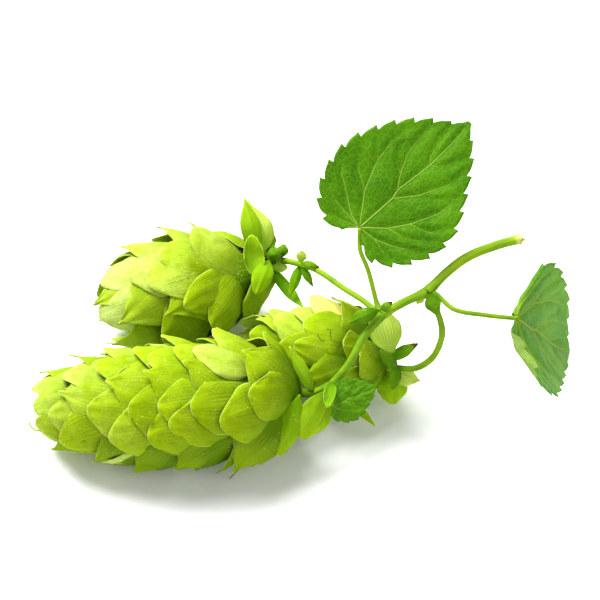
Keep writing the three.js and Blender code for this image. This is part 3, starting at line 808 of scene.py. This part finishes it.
def tube(name, points, radii, sides, rings=None, ridge=0.0, chance=0.0):
    """A closed stalk along points in millimetres, with radii at 0 to 1 along it.

    ridge is how deep its lengthwise ribs are and chance is kept for its material.
    """
    route = Route(points)
    length = sum((b - a).length for a, b in zip(route.points, route.points[1:]))
    rings = rings or max(6, int(length / 0.6))
    item = grid(sides, rings)
    spots = []
    for vertex in item.data.vertices:
        turn, t = vertex.co.x * math.pi, (vertex.co.y + 1) / 2
        middle, along = route.at(t)
        across = crosswise(TUBE_HELPER, along)
        beside = across.cross(along)
        size = profile(radii, t) * (1 + ridge * math.cos(6 * turn))
        point = middle + (across * math.cos(turn) + beside * math.sin(turn)) * size
        spots.append((vertex.co.x, t, chance))
        vertex.co = (point + SPRIG_SHIFT) * MM
    write_map(item.data, spots)
    bpy.ops.object.mode_set(mode="EDIT")
    bpy.ops.mesh.select_all(action="SELECT")
    bpy.ops.mesh.remove_doubles(threshold=1e-6)
    bpy.ops.mesh.fill_holes(sides=0)
    bpy.ops.mesh.normals_make_consistent(inside=False)
    bpy.ops.object.mode_set(mode="OBJECT")
    item.name = name
    item.data.name = name
    return item


CUT_END = (41.5, 7.5, 35)
NODE_A, NODE_B, NODE_C = (24, -1.5, 30), (15.5, -4.5, 27), (6, -14, 17.5)
# Each stalk: node, its points, its radii, the depth of its ribs.
STALKS = (
    ("stem_upper",
     (CUT_END, (37.5, 6.5, 34.5), (32, 4.5, 33.5), (28, 2, 32), NODE_A),
     ((0, 1.0), (0.06, 0.9), (0.85, 0.9), (1, 1.15)), 0.012),
    ("stem_middle",
     (NODE_A, (20, -2.5, 28.5), NODE_B),
     ((0, 1.15), (0.25, 0.84), (0.75, 0.82), (1, 1.05)), 0.012),
    ("stem_lower",
     (NODE_B, (12, -8, 24.5), (9.5, -11.5, 21.5), NODE_C),
     ((0, 1.05), (0.2, 0.76), (0.8, 0.72), (1, 0.9)), 0.012),
    ("peduncle_upper_cone",
     ((14.8, -4.2, 26.6), (12.4, -0.6, 26.2), (8.5, 4, 25), (3.5, 11.5, 22), (0, 16.5, 18.5),
      (-3.2, 20, 15.8), (-4.6, 20.6, 14.6)),
     ((0, 0.75), (0.1, 0.58), (0.9, 0.6), (1, 0.8)), 0.05),
    ("peduncle_middle_cone",
     ((24.2, -1.8, 29.6), (25.1, -2.8, 28.5), (26.6, -4.8, 25.5), (27, -5.8, 22), (25.5, -7, 17.5),
      (22.5, -6.5, 13.6), (19, -5, 11.8), (17.2, -4, 10.8)),
     ((0, 0.7), (0.15, 0.6), (0.9, 0.62), (1, 0.85)), 0.05),
    ("peduncle_front_cone",
     (NODE_C, (4, -13.6, 15.6), (2, -13.2, 14.2), (0.4, -12.2, 13)),
     ((0, 0.9), (0.5, 0.7), (1, 0.9)), 0.05),
    ("petiole_large_leaf",
     ((15.2, -4, 27.3), (14.6, -2.9, 28), (12.8, 1.5, 33), (11.4, 3.9, 35.4), (11.2, 5, 36.8),
      (11.2, 6.4, 39.3)),
     ((0, 0.75), (0.15, 0.46), (0.85, 0.42), (1, 0.4)), 0.03),
    ("petiole_right_leaf",
     ((24.4, -1.7, 30), (25.8, -2.1, 29.8), (29, -5, 29), (34.5, -5, 27.5), (40.4, -4.5, 26),
      (41.4, -4.4, 25.9)),
     ((0, 0.75), (0.12, 0.48), (0.85, 0.45), (1, 0.4)), 0.05),
    ("petiole_small_leaf",
     ((6.2, -14.4, 17.5), (6.3, -15.4, 17.4), (6.3, -17.1, 17), (6.1, -18.6, 16.8)),
     ((0, 0.5), (0.5, 0.4), (1, 0.35)), 0.05),
)
# Each shred of the torn end: turn round the stem in radians, start and end along it from the cut,
# how far from its line the tip is.
SHREDS = (
    (0.1, -1.9, 0.9, 1.25), (0.9, -1.5, 0.6, 1.1), (1.8, -1.7, 0.2, 1.3), (2.7, -1.8, 0.8, 1.8),
    (3.6, -1.6, 1.3, 1.2), (4.4, -1.4, 1.5, 0.5), (5.2, -1.7, 0.5, 1.2), (5.9, -1.2, 1.1, 0.8),
)
# Withered hairs, and the drawn-out tip of the front cone: name, slot, their points, radius, finish.
HAIRS = (
    ("middle_cone_hairs", "bract_dark",
     (((3.4, -4.7, 21.7), (3.5, -5.3, 21.6), (3.9, -5.9, 21.5), (4.5, -6.4, 21.3)),
      ((5.1, -4.3, 22.4), (5.8, -4.6, 22.6), (5.8, -5.5, 22.4), (6.0, -6.6, 21.8))),
     0.09, "hop_hair"),
    ("front_cone_tail", "cone_bract",
     (((-48.4, -17.0, 7.8), (-50.6, -17.5, 8.1), (-51.6, -17.0, 8.6), (-52.1, -16.3, 9.3)),),
     0.26, "hop_vein_yellow"),
    ("front_cone_hair", "bract_dark",
     (((-13.6, -23.3, 0.4), (-12.6, -22.7, 1.3), (-11.5, -22.2, 2.6)),),
     0.1, "hop_hair_brown"),
)


# ---------------------------------------------------------------- leaves

# The edges of a leaf on each side of the midrib, in leaf lengths along it and leaf widths across.
LEFT_EDGE = (
    (-0.01, 0.0), (-0.03, 0.03), (-0.1, 0.1), (-0.09, 0.25), (0, 0.36), (0.15, 0.43), (0.32, 0.45),
    (0.47, 0.41), (0.65, 0.32), (0.78, 0.21), (0.9, 0.08), (0.97, 0.015), (1, 0.0),
)
RIGHT_EDGE = (
    (-0.01, 0.0), (-0.04, 0.05), (-0.08, 0.18), (-0.02, 0.3), (0.1, 0.39), (0.25, 0.45),
    (0.42, 0.44), (0.57, 0.36), (0.7, 0.27), (0.82, 0.18), (0.92, 0.08), (0.97, 0.02), (1, 0.0),
)
# Each vein: its weight, then its points in leaf lengths, along the midrib and across it.
VEINS = (
    (1.0, (0, 0), (0.14, 0.006), (0.285, 0.011), (0.345, -0.006), (0.61, 0.023), (0.82, 0.02),
     (0.98, 0.004)),
    (0.75, (0.0, 0), (0.193, -0.156), (0.385, -0.239), (0.541, -0.268), (0.678, -0.256)),
    (0.45, (0.193, -0.156), (0.258, -0.291), (0.402, -0.401)),
    (0.45, (0.385, -0.239), (0.488, -0.347)),
    (0.7, (0.0, 0), (0.02, -0.104), (0.093, -0.222), (0.156, -0.339), (0.25, -0.43)),
    (0.55, (0.0, 0), (0.003, -0.179), (0.011, -0.26), (0.055, -0.347)),
    (0.5, (0.0, 0), (-0.024, -0.057), (-0.061, -0.142), (-0.07, -0.2)),
    (0.8, (0.0, 0), (0.129, 0.133), (0.25, 0.214), (0.428, 0.295), (0.6, 0.311)),
    (0.45, (0.129, 0.133), (0.171, 0.276), (0.309, 0.44)),
    (0.45, (0.25, 0.214), (0.303, 0.343), (0.42, 0.42)),
    (0.6, (0.0, 0), (0.018, 0.126), (0.069, 0.238), (0.185, 0.42)),
    (0.45, (0.018, 0.126), (-0.01, 0.28)),
    (0.5, (0.0, 0), (-0.03, 0.06), (-0.065, 0.15)),
    (0.6, (0.285, 0.011), (0.42, 0.116), (0.628, 0.209), (0.75, 0.216)),
    (0.6, (0.345, -0.006), (0.43, -0.068), (0.564, -0.137), (0.725, -0.161), (0.8, -0.16)),
    (0.45, (0.61, 0.023), (0.653, -0.013), (0.788, -0.062), (0.884, -0.069)),
    (0.45, (0.61, 0.023), (0.68, 0.102), (0.81, 0.15)),
    (0.35, (0.42, 0.116), (0.47, 0.2), (0.56, 0.28)),
    (0.35, (0.43, -0.068), (0.5, -0.16), (0.58, -0.21)),
)
# How far a tooth stands out, at 0 to 1 along it.
TOOTH_SHAPE = ((0, 0.0), (0.2, 0.34), (0.45, 0.6), (0.7, 0.78), (0.857, 1.0), (1, 0.0))
ROWS_PER_TOOTH = 7


def edge_point(edge, t, teeth, depth):
    """A point of an edge at 0 to 1, as (along, across), and how far a tooth moves it."""
    runs = [0.0]
    for (a0, c0), (a1, c1) in zip(edge, edge[1:]):
        runs.append(runs[-1] + math.hypot(a1 - a0, c1 - c0))
    route = Route([Vector((a, c, 0)) for a, c in edge], [r / runs[-1] for r in runs])
    point, way = route.at(t)
    inward = Vector((way.y, -way.x, 0))
    phase = (t * teeth) % 1.0
    size = depth * smooth((t - 0.03) / 0.1) * (1 - 0.6 * smooth((t - 0.8) / 0.2))
    tooth = profile(TOOTH_SHAPE, phase)
    lean = 0.45 * smooth((phase - 0.4) / 0.46)
    move = way * (size * lean) - inward * (size * tooth)
    return point.x, max(point.y, 0.0), move.x, move.y


def vein_gap(along, across):
    """How far a point of the leaf is from the nearest vein, in leaf lengths."""
    best = 1.0
    for _, *points in VEINS:
        for (a0, c0), (a1, c1) in zip(points, points[1:]):
            da, dc = a1 - a0, c1 - c0
            part = ((along - a0) * da + (across - c0) * dc) / (da * da + dc * dc)
            part = min(1.0, max(0.0, part))
            gap = math.hypot(along - a0 - part * da, across - c0 - part * dc)
            best = min(best, gap)
    return best


# How far from a vein the blade has risen to its full height, in leaf lengths.
SWELL_REACH = 0.035
RIB_STEPS = 4


class Leaf:
    """A leaf blade: where it is joined, which way it runs and how it is bent.

    Each fold is the side of the midrib, the slant of its line and how far it turns, in radians,
    the way it turns, and how far its line is from the joint, in millimetres.
    """

    def __init__(self, joint, along, face, length, width, teeth, bend, columns=26, puff=0.3,
                 tooth=0.036, folds=()):
        self.joint = Vector(joint)
        self.along = Vector(along).normalized()
        self.normal = crosswise(Vector(face), self.along)
        self.across = self.along.cross(self.normal)
        self.length = length
        self.width = width
        self.teeth = teeth
        self.bend = bend
        self.columns = columns
        self.puff = puff
        self.tooth = tooth
        self.folds = folds

    def point(self, a, c, height=0.0):
        """From the leaf's own measure to millimetres."""
        x, y = a * self.length, c * self.width * self.length
        height += self.bend(a, c) * self.length
        for sign, slant, turn, way, beyond in self.folds:
            back = Vector((-math.sin(slant), sign * math.cos(slant)))
            past = x * back.x + y * back.y - beyond
            if sign * c > 0 and past > 0:
                moved = min(past / FOLD_RADIUS, turn)
                rest = max(0.0, past - FOLD_RADIUS * turn)
                inside = FOLD_RADIUS * math.sin(moved) + rest * math.cos(turn) - past
                x += back.x * inside
                y += back.y * inside
                height += way * (FOLD_RADIUS * (1 - math.cos(moved)) + rest * math.sin(turn))
        return self.joint + self.along * x + self.across * y + self.normal * height

    def ripple(self, a, c):
        """A small unevenness that the blade and its ribs share, in millimetres."""
        return 0.25 * noise.noise(Vector((a * 6, c * 6, self.length)))

    def blade(self, name):
        """The toothed blade, swelling a little between its veins."""
        teeth = self.teeth // 2
        rows = teeth * ROWS_PER_TOOTH
        item = grid(self.columns * 2, rows)
        spots = []
        lefts = [edge_point(LEFT_EDGE, i / rows, teeth, self.tooth) for i in range(rows + 1)]
        rights = [edge_point(RIGHT_EDGE, i / rows, teeth, self.tooth) for i in range(rows + 1)]
        for vertex in item.data.vertices:
            u = vertex.co.x
            row = round((vertex.co.y + 1) / 2 * rows)
            edge_a, edge_c, tooth_a, tooth_c = lefts[row] if u < 0 else rights[row]
            mean = max(0.0, (lefts[row][0] + rights[row][0]) / 2)
            rib = 0.97 * mean * mean + 0.03 * row / rows
            part = abs(u) ** 0.9
            a = rib + (edge_a - rib) * part
            outer = smooth((abs(u) - 0.86) / 0.14)
            a += tooth_a * outer
            c = math.copysign(edge_c * part + tooth_c * outer, u) if u else 0.0
            gap = vein_gap(a, c)
            edge_part = smooth((1 - abs(u)) / 0.25)
            swell = self.puff * (1 - math.exp(-(gap / SWELL_REACH) ** 2)) * (0.3 + 0.7 * edge_part)
            height = swell + self.ripple(a, c)
            vertex.co = (self.point(a, c, height) + SPRIG_SHIFT) * MM
            spots.append((a * self.length, c * self.length, gap * self.length))
        write_map(item.data, spots)
        item.name = name
        item.data.name = name
        return item

    def veins(self, name, weight, lift=0.0):
        """The ribs that stand out of the blade, one closed stalk each."""
        items = []
        for index, (size, *points) in enumerate(VEINS):
            fine = []
            for (a0, c0), (a1, c1) in zip(points, points[1:]):
                for step in range(RIB_STEPS):
                    part = step / RIB_STEPS
                    fine.append((a0 + (a1 - a0) * part, c0 + (c1 - c0) * part))
            fine.append(points[-1])
            course = [self.point(a, c, self.ripple(a, c) + lift) for a, c in fine]
            thick = weight * size
            radii = ((0, thick), (0.7, thick * 0.62), (1, thick * 0.25))
            items.append(tube(f"vein_{index}", course, radii, 6, len(course) - 1))
        return join(items, name)


FOLD_RADIUS = 0.7


def large_bend(a, c):
    """The large leaf: a shallow trough that sinks towards its tip."""
    return 0.12 * c * c - 0.05 * a * a


def right_bend(a, c):
    """The right leaf: both halves rise from the midrib, one with a dip near its base."""
    if c < 0:
        return 0.33 * abs(c) ** 1.25
    dip = max(0.0, 1 - a) ** 2 * math.sin(math.pi * min(1.0, c / 0.5)) ** 2
    return 0.45 * c ** 1.25 - 0.06 * dip


def small_bend(a, c):
    """The small leaf: both halves fall from the midrib."""
    return -0.2 * c * c


LARGE_LEAF = Leaf((11.2, 6.4, 39.3), (0.724, 0.513, 0.462), FACING, 28.9, 0.98, 26, large_bend)
RIGHT_LEAF = Leaf((41.0, -4.4, 25.9), (0.5, 0.36, -0.79), (0.83, -0.32, 0.36), 27.5, 0.97, 22,
                  right_bend, folds=((-1, math.radians(69), math.radians(166), -1, 0.0),
                                     (1, math.radians(56), math.radians(154), 1, 3.0)))
SMALL_LEAF = Leaf((6.1, -18.6, 16.8), (0.9, 0.32, 0.29), FACING, 9.1, 0.95, 16, small_bend,
                  columns=16, puff=0.14, tooth=0.05)
# Each leaf: name, leaf, finish, slot, weight of its ribs, their finish.
LEAVES = (
    ("large_leaf", LARGE_LEAF, "hop_leaf", "leaf", 0.17, "hop_vein"),
    ("right_leaf", RIGHT_LEAF, "hop_leaf_painted_sheen", "leaf_grey", 0.2, "hop_vein_yellow"),
    ("small_leaf", SMALL_LEAF, "hop_leaf", "leaf", 0.1, "hop_vein"),
)


# ---------------------------------------------------------------- what a user can change

class HopSprigSettings(bpy.types.PropertyGroup):
    """Sizes and colours of the sprig."""

    bract_thickness: FloatProperty(
        name="Bract Thickness", description="How thick the bracts of the cones are",
        default=0.1 * MM, min=0.05 * MM, max=0.5 * MM, precision=5, unit="LENGTH")
    leaf_thickness: FloatProperty(
        name="Leaf Thickness", description="How thick the leaf blades are",
        default=0.16 * MM, min=0.05 * MM, max=0.6 * MM, precision=5, unit="LENGTH")
    cone_colour: FloatVectorProperty(
        name="Cone Colour", description="The fresh green of the cones", subtype="COLOR",
        default=(0.43, 0.60, 0.003), size=3, min=0, max=1)
    leaf_colour: FloatVectorProperty(
        name="Leaf Colour", description="The fresh green of the leaves", subtype="COLOR",
        default=(0.085, 0.25, 0.001), size=3, min=0, max=1)
    stem_colour: FloatVectorProperty(
        name="Stem Colour", description="The green of the stalks", subtype="COLOR",
        default=(0.29, 0.46, 0.008), size=3, min=0, max=1)
    floor_colour: FloatVectorProperty(
        name="Floor Colour", description="The pale floor", subtype="COLOR",
        default=(0.93, 0.93, 0.93), size=3, min=0, max=1)


# Each finish of a bract: name, its fresh, deep and pale colour, the colour and the share of the
# light that comes through, and what differs from bract_finish.
BRACT_FINISHES = (
    ("hop_bract", (0.33, 0.58, 0.008), (0.10, 0.28, 0.001), (0.6, 0.78, 0.12),
     (0.35, 0.66, 0.01), 0.3, {}),
    ("hop_bract_lime", (0.45, 0.66, 0.01), (0.2, 0.40, 0.002), (0.78, 0.88, 0.2),
     (0.5, 0.76, 0.01), 0.3, {"vein_count": 7}),
    ("hop_bract_pale", (0.72, 0.82, 0.14), (0.36, 0.58, 0.02), (0.97, 0.97, 0.6),
     (0.75, 0.85, 0.2), 0.3, {"vein_count": 6, "stripes": 0.75}),
    ("hop_bract_yellow", (0.82, 0.80, 0.22), (0.6, 0.6, 0.06), (0.97, 0.93, 0.55),
     (0.85, 0.8, 0.25), 0.3, {"vein_count": 8}),
    ("hop_bract_dark", (0.19, 0.39, 0.004), (0.06, 0.2, 0.001), (0.5, 0.7, 0.1),
     (0.14, 0.4, 0.005), 0.2, {"stripes": 0.3}),
    ("hop_bract_fresh", (0.40, 0.61, 0.006), (0.19, 0.40, 0.001), (0.6, 0.78, 0.1),
     (0.25, 0.6, 0.005), 0.25, {}),
    ("hop_bract_brown_tip", (0.33, 0.55, 0.015), (0.12, 0.32, 0.004), (0.7, 0.8, 0.2),
     (0.3, 0.6, 0.02), 0.28, {"brown": 0.2}),
    ("hop_torn", (0.84, 0.86, 0.28), (0.55, 0.64, 0.1), (0.95, 0.94, 0.5),
     (0.8, 0.82, 0.3), 0.25, {"vein_count": 4}),
)
STEM_DEEP = (0.10, 0.26, 0.004)


def finishes():
    """Every material, made on first use."""
    if "hop_cone_bract" not in bpy.data.materials:
        chosen = bpy.context.scene.hop_sprig
        cone, leaf, stem = (tuple(colour) for colour in (
            chosen.cone_colour, chosen.leaf_colour, chosen.stem_colour))
        bract_finish("hop_cone_bract", cone, (0.11, 0.22, 0), (0.71, 0.81, 0.28),
                     (0.5, 0.64, 0.001), 0.2)
        for *looks, others in BRACT_FINISHES:
            bract_finish(*looks, **others)
        leaf_finish("hop_leaf", leaf, (0.035, 0.145, 0.0003), (0.19, 0.40, 0.006),
                    (0.12, 0.36, 0.0005), 0.25, 0.1, 0.5)
        leaf_finish("hop_leaf_under", (0.42, 0.62, 0.12), (0.27, 0.47, 0.06), (0.62, 0.78, 0.25),
                    (0.3, 0.6, 0.05), 0.3, 0.12, 0.6)
        # Painted sheen: a paler, greyer copy of the leaf's paint for the right leaf's upper face,
        # where grazing light shines on it.
        leaf_finish("hop_leaf_painted_sheen", (0.18, 0.43, 0.022), (0.06, 0.25, 0.001), (0.3, 0.54, 0.06),
                    (0.14, 0.44, 0.004), 0.22, 0.13, 0.45)
        stem_finish("hop_stem", stem, STEM_DEEP)
        stem_finish("hop_stem_cut", stem, STEM_DEEP, 0.3)
        vein_finish("hop_vein", (0.36, 0.56, 0.07))
        vein_finish("hop_vein_yellow", (0.48, 0.62, 0.03))
        vein_finish("hop_hair", (0.07, 0.06, 0.012))
        vein_finish("hop_hair_brown", (0.22, 0.13, 0.05))
    return bpy.data.materials


# ---------------------------------------------------------------- operators

# The stage, in metres and watts: the floor just under the sprig, the lights and the camera.
FLOOR_SIZE, FLOOR_HEIGHT = 6, -0.0002
ROOM_LIGHT = 0.38
LIGHT_TARGET = Vector((0, 0.01, 0.015))
# Each light: name, place, size, power.
LIGHTS = (
    ("key", (-0.24, 0.25, 0.58), 0.4, 10.7),
    ("fill", (0.35, -0.40, 0.45), 0.6, 1.5),
)
CAMERA_PLACE = Vector((-0.0008, -0.2135, 0.2627))
CAMERA_TARGET = Vector((-0.0008, 0.0095, 0.015))
CAMERA_LENS, CAMERA_FILM, CAMERA_NEAR = 100, 36, 0.01


class HOP_OT_stalks(bpy.types.Operator):
    """Makes the stem, the stalks of the cones and the stalks of the leaves"""

    bl_idname = "hop.stalks"
    bl_label = "Stalks"

    def execute(self, context):
        paints = finishes()
        for index, (node, points, radii, ridge) in enumerate(STALKS):
            name = node.replace("peduncle", "stalk")
            piece = tube(name, points, radii, 18, ridge=ridge, chance=0.1 * (index % 3))
            finish = "hop_stem_cut" if node == "stem_upper" else "hop_stem"
            settle(piece, [node], [paints[finish]])
        return {"FINISHED"}


class HOP_OT_torn_end(bpy.types.Operator):
    """Makes the pale shreds round the cut end of the stem"""

    bl_idname = "hop.torn_end"
    bl_label = "Torn End"

    def execute(self, context):
        shreds = []
        cut_end = Vector(CUT_END)
        next_point = STALKS[0][1][1]
        way = (cut_end - Vector(next_point)).normalized()
        beside = crosswise(UPWARDS, way)
        over = beside.cross(way)
        for turn, start, end, flare in SHREDS:
            radial = beside * math.cos(turn) + over * math.sin(turn)
            base = cut_end + way * start + radial * 0.85
            tip = cut_end + way * end + radial * flare
            shreds.append(loose_bract(base, tip, radial, 1.25, "pointed", -0.06, 0.7, 0.15,
                                      TORN_SEED + int(10 * turn)))
        piece = join(shreds, "stem_torn_end")
        thicken(piece, TORN_THICKNESS)
        settle(piece, [], [finishes()["hop_torn"]])
        return {"FINISHED"}


class HOP_OT_hairs(bpy.types.Operator):
    """Makes the withered hairs and the drawn-out tip of the front cone"""

    bl_idname = "hop.hairs"
    bl_label = "Hairs"

    def execute(self, context):
        for name, slot, hairs, thick, finish in HAIRS:
            radii = ((0, thick), (1, thick * 0.5))
            piece = join([tube(f"{name}_{k}", hair, radii, 6, 16)
                          for k, hair in enumerate(hairs)], name)
            settle(piece, [], [finishes()[finish]])
        return {"FINISHED"}


class HOP_OT_cone_hearts(bpy.types.Operator):
    """Makes the closed core inside each cone, which its bracts cover"""

    bl_idname = "hop.cone_hearts"
    bl_label = "Cone Hearts"

    def execute(self, context):
        for name, (cone, *_) in CONES.items():
            places = [k * cone.length / 12 for k in range(1, 12)]
            course = [cone.middle(s) for s in places]
            radii = [(k / 10, 0.3 + 0.6 * cone.radius(s)) for k, s in enumerate(places)]
            radii[0], radii[-1] = (0, 0.6), (1, 0.6)
            piece = tube(f"{name}_cone_heart", course, radii, 20, 24, ridge=0.06, chance=0.3)
            settle(piece, [], [finishes()["hop_cone_bract"]])
        return {"FINISHED"}


class HOP_OT_front_cone(bpy.types.Operator):
    """Makes the long cone that lies in front"""

    bl_idname = "hop.front_cone"
    bl_label = "Front Cone"

    def execute(self, context):
        whorled("front", context.scene.hop_sprig.bract_thickness)
        return {"FINISHED"}


class HOP_OT_upper_cone(bpy.types.Operator):
    """Makes the looser cone at the back"""

    bl_idname = "hop.upper_cone"
    bl_label = "Upper Cone"

    def execute(self, context):
        whorled("upper", context.scene.hop_sprig.bract_thickness)
        return {"FINISHED"}


class HOP_OT_middle_cone(bpy.types.Operator):
    """Makes the cone between the other two, with its one yellow bract"""

    bl_idname = "hop.middle_cone"
    bl_label = "Middle Cone"

    def execute(self, context):
        thickness = context.scene.hop_sprig.bract_thickness
        whorled("middle", thickness)
        piece = join([MIDDLE_CONE.bract(*YELLOW_BRACT, YELLOW_SEED)], "middle_cone_yellow_bract")
        thicken(piece, thickness)
        settle(piece, [], [finishes()["hop_bract_yellow"]])
        return {"FINISHED"}


class HOP_OT_loose_bracts(bpy.types.Operator):
    """Makes the bracts and stipules that stand apart from the cones"""

    bl_idname = "hop.loose_bracts"
    bl_label = "Loose Bracts"

    def execute(self, context):
        paints = finishes()
        for index, (node, *shape, finish) in enumerate(LOOSE):
            piece = join([loose_bract(*shape, LOOSE_SEED + index)], f"{node}_blade")
            thicken(piece, LOOSE_THICKNESS)
            settle(piece, [node], [paints[f"hop_{finish}"]])
        return {"FINISHED"}


class HOP_OT_buds(bpy.types.Operator):
    """Makes the two small buds beside the upper cone"""

    bl_idname = "hop.buds"
    bl_label = "Buds"

    def execute(self, context):
        for node, base, tip, width in BUDS:
            scales = []
            chord = Vector(tip) - Vector(base)
            for turn in range(5):
                side = Vector((math.cos(turn * BUD_TURN), math.sin(turn * BUD_TURN), 0))
                scales.append(loose_bract(base, tip, crosswise(side, chord), width * 0.95,
                                          "pointed", 0.36, 0.9, -0.5, BUD_SEED + turn))
            piece = join(scales, f"{node}_scales")
            thicken(piece, LOOSE_THICKNESS)
            settle(piece, [node], [finishes()["hop_bract_dark"]])
        return {"FINISHED"}


class HOP_OT_leaves(bpy.types.Operator):
    """Makes the three toothed leaves and their ribs"""

    bl_idname = "hop.leaves"
    bl_label = "Leaves"

    def execute(self, context):
        paints = finishes()
        thickness = context.scene.hop_sprig.leaf_thickness
        for name, leaf, finish, slot, weight, rib_finish in LEAVES:
            blade = leaf.blade(f"{name}_blade")
            for material in (paints[finish], paints["hop_leaf_under"]):
                blade.data.materials.append(material)
            thicken(blade, thickness, True)
            settle(blade, [f"blade_{name}"], [])
            ribs = leaf.veins(f"{name}_ribs", weight, -0.25 * thickness / MM)
            settle(ribs, [], [paints[rib_finish]])
        return {"FINISHED"}


class HOP_OT_stage(bpy.types.Operator):
    """Makes the pale floor, the soft lights and the camera"""

    bl_idname = "hop.stage"
    bl_label = "Stage"

    def execute(self, context):
        scene = context.scene
        deselect()
        bpy.ops.mesh.primitive_plane_add(size=FLOOR_SIZE, location=(0, 0, 0))
        floor = context.object
        floor.name = "floor"
        for vertex in floor.data.vertices:
            vertex.co.z = FLOOR_HEIGHT
        paint = Paint("pale_floor")
        tone = tuple(scene.hop_sprig.floor_colour)
        grain = paint.speckle(40, 2)
        colour = paint.mix(grain * 0.1, tone, tuple(0.97 * c for c in tone))
        normal = paint.relief(grain, FLOOR_RELIEF, 0.2)
        floor.data.materials.append(paint.finish(colour, 0.9, normal, 0.1))
        world = bpy.data.worlds.new("soft_room")
        scene.world = world
        world.use_nodes = True
        background = world.node_tree.nodes["Background"]
        background.inputs["Color"].default_value = (1, 1, 1, 1)
        background.inputs["Strength"].default_value = ROOM_LIGHT
        for name, place, size, power in LIGHTS:
            bpy.ops.object.light_add(type="AREA", location=place)
            light = context.object
            light.name = f"{name}_light"
            light.data.size = size
            light.data.energy = power
            way = LIGHT_TARGET - Vector(place)
            light.rotation_euler = way.to_track_quat("-Z", "Y").to_euler()
        look = (CAMERA_TARGET - CAMERA_PLACE).to_track_quat("-Z", "Y").to_euler()
        bpy.ops.object.camera_add(location=CAMERA_PLACE, rotation=look)
        camera = context.object
        camera.data.lens = CAMERA_LENS
        camera.data.sensor_width = CAMERA_FILM
        camera.data.clip_start = CAMERA_NEAR
        scene.camera = camera
        scene.view_settings.view_transform = "Standard"
        return {"FINISHED"}


class HOP_PT_panel(bpy.types.Panel):
    """The sprig's parts in the sidebar"""

    bl_label = "Hop Sprig"
    bl_idname = "HOP_PT_panel"
    bl_space_type = "VIEW_3D"
    bl_region_type = "UI"
    bl_category = "Hop Sprig"

    def draw(self, context):
        for name in HopSprigSettings.__annotations__:
            self.layout.prop(context.scene.hop_sprig, name)
        for operator in OPERATORS:
            self.layout.operator(operator.bl_idname)


OPERATORS = (HOP_OT_stage, HOP_OT_stalks, HOP_OT_torn_end, HOP_OT_hairs, HOP_OT_cone_hearts,
             HOP_OT_front_cone, HOP_OT_upper_cone, HOP_OT_middle_cone, HOP_OT_loose_bracts,
             HOP_OT_buds, HOP_OT_leaves)
CLASSES = (HopSprigSettings, *OPERATORS, HOP_PT_panel)


def register():
    for cls in CLASSES:
        bpy.utils.register_class(cls)
    bpy.types.Scene.hop_sprig = PointerProperty(type=HopSprigSettings)


def unregister():
    del bpy.types.Scene.hop_sprig
    for cls in reversed(CLASSES):
        bpy.utils.unregister_class(cls)


def main():
    """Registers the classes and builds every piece."""
    register()
    bpy.ops.hop.stage()
    bpy.ops.hop.stalks()
    bpy.ops.hop.torn_end()
    bpy.ops.hop.hairs()
    bpy.ops.hop.cone_hearts()
    bpy.ops.hop.front_cone()
    bpy.ops.hop.upper_cone()
    bpy.ops.hop.middle_cone()
    bpy.ops.hop.loose_bracts()
    bpy.ops.hop.buds()
    bpy.ops.hop.leaves()
    for mesh in blanks.values():
        bpy.data.meshes.remove(mesh)


if __name__ == "__main__":
    main()
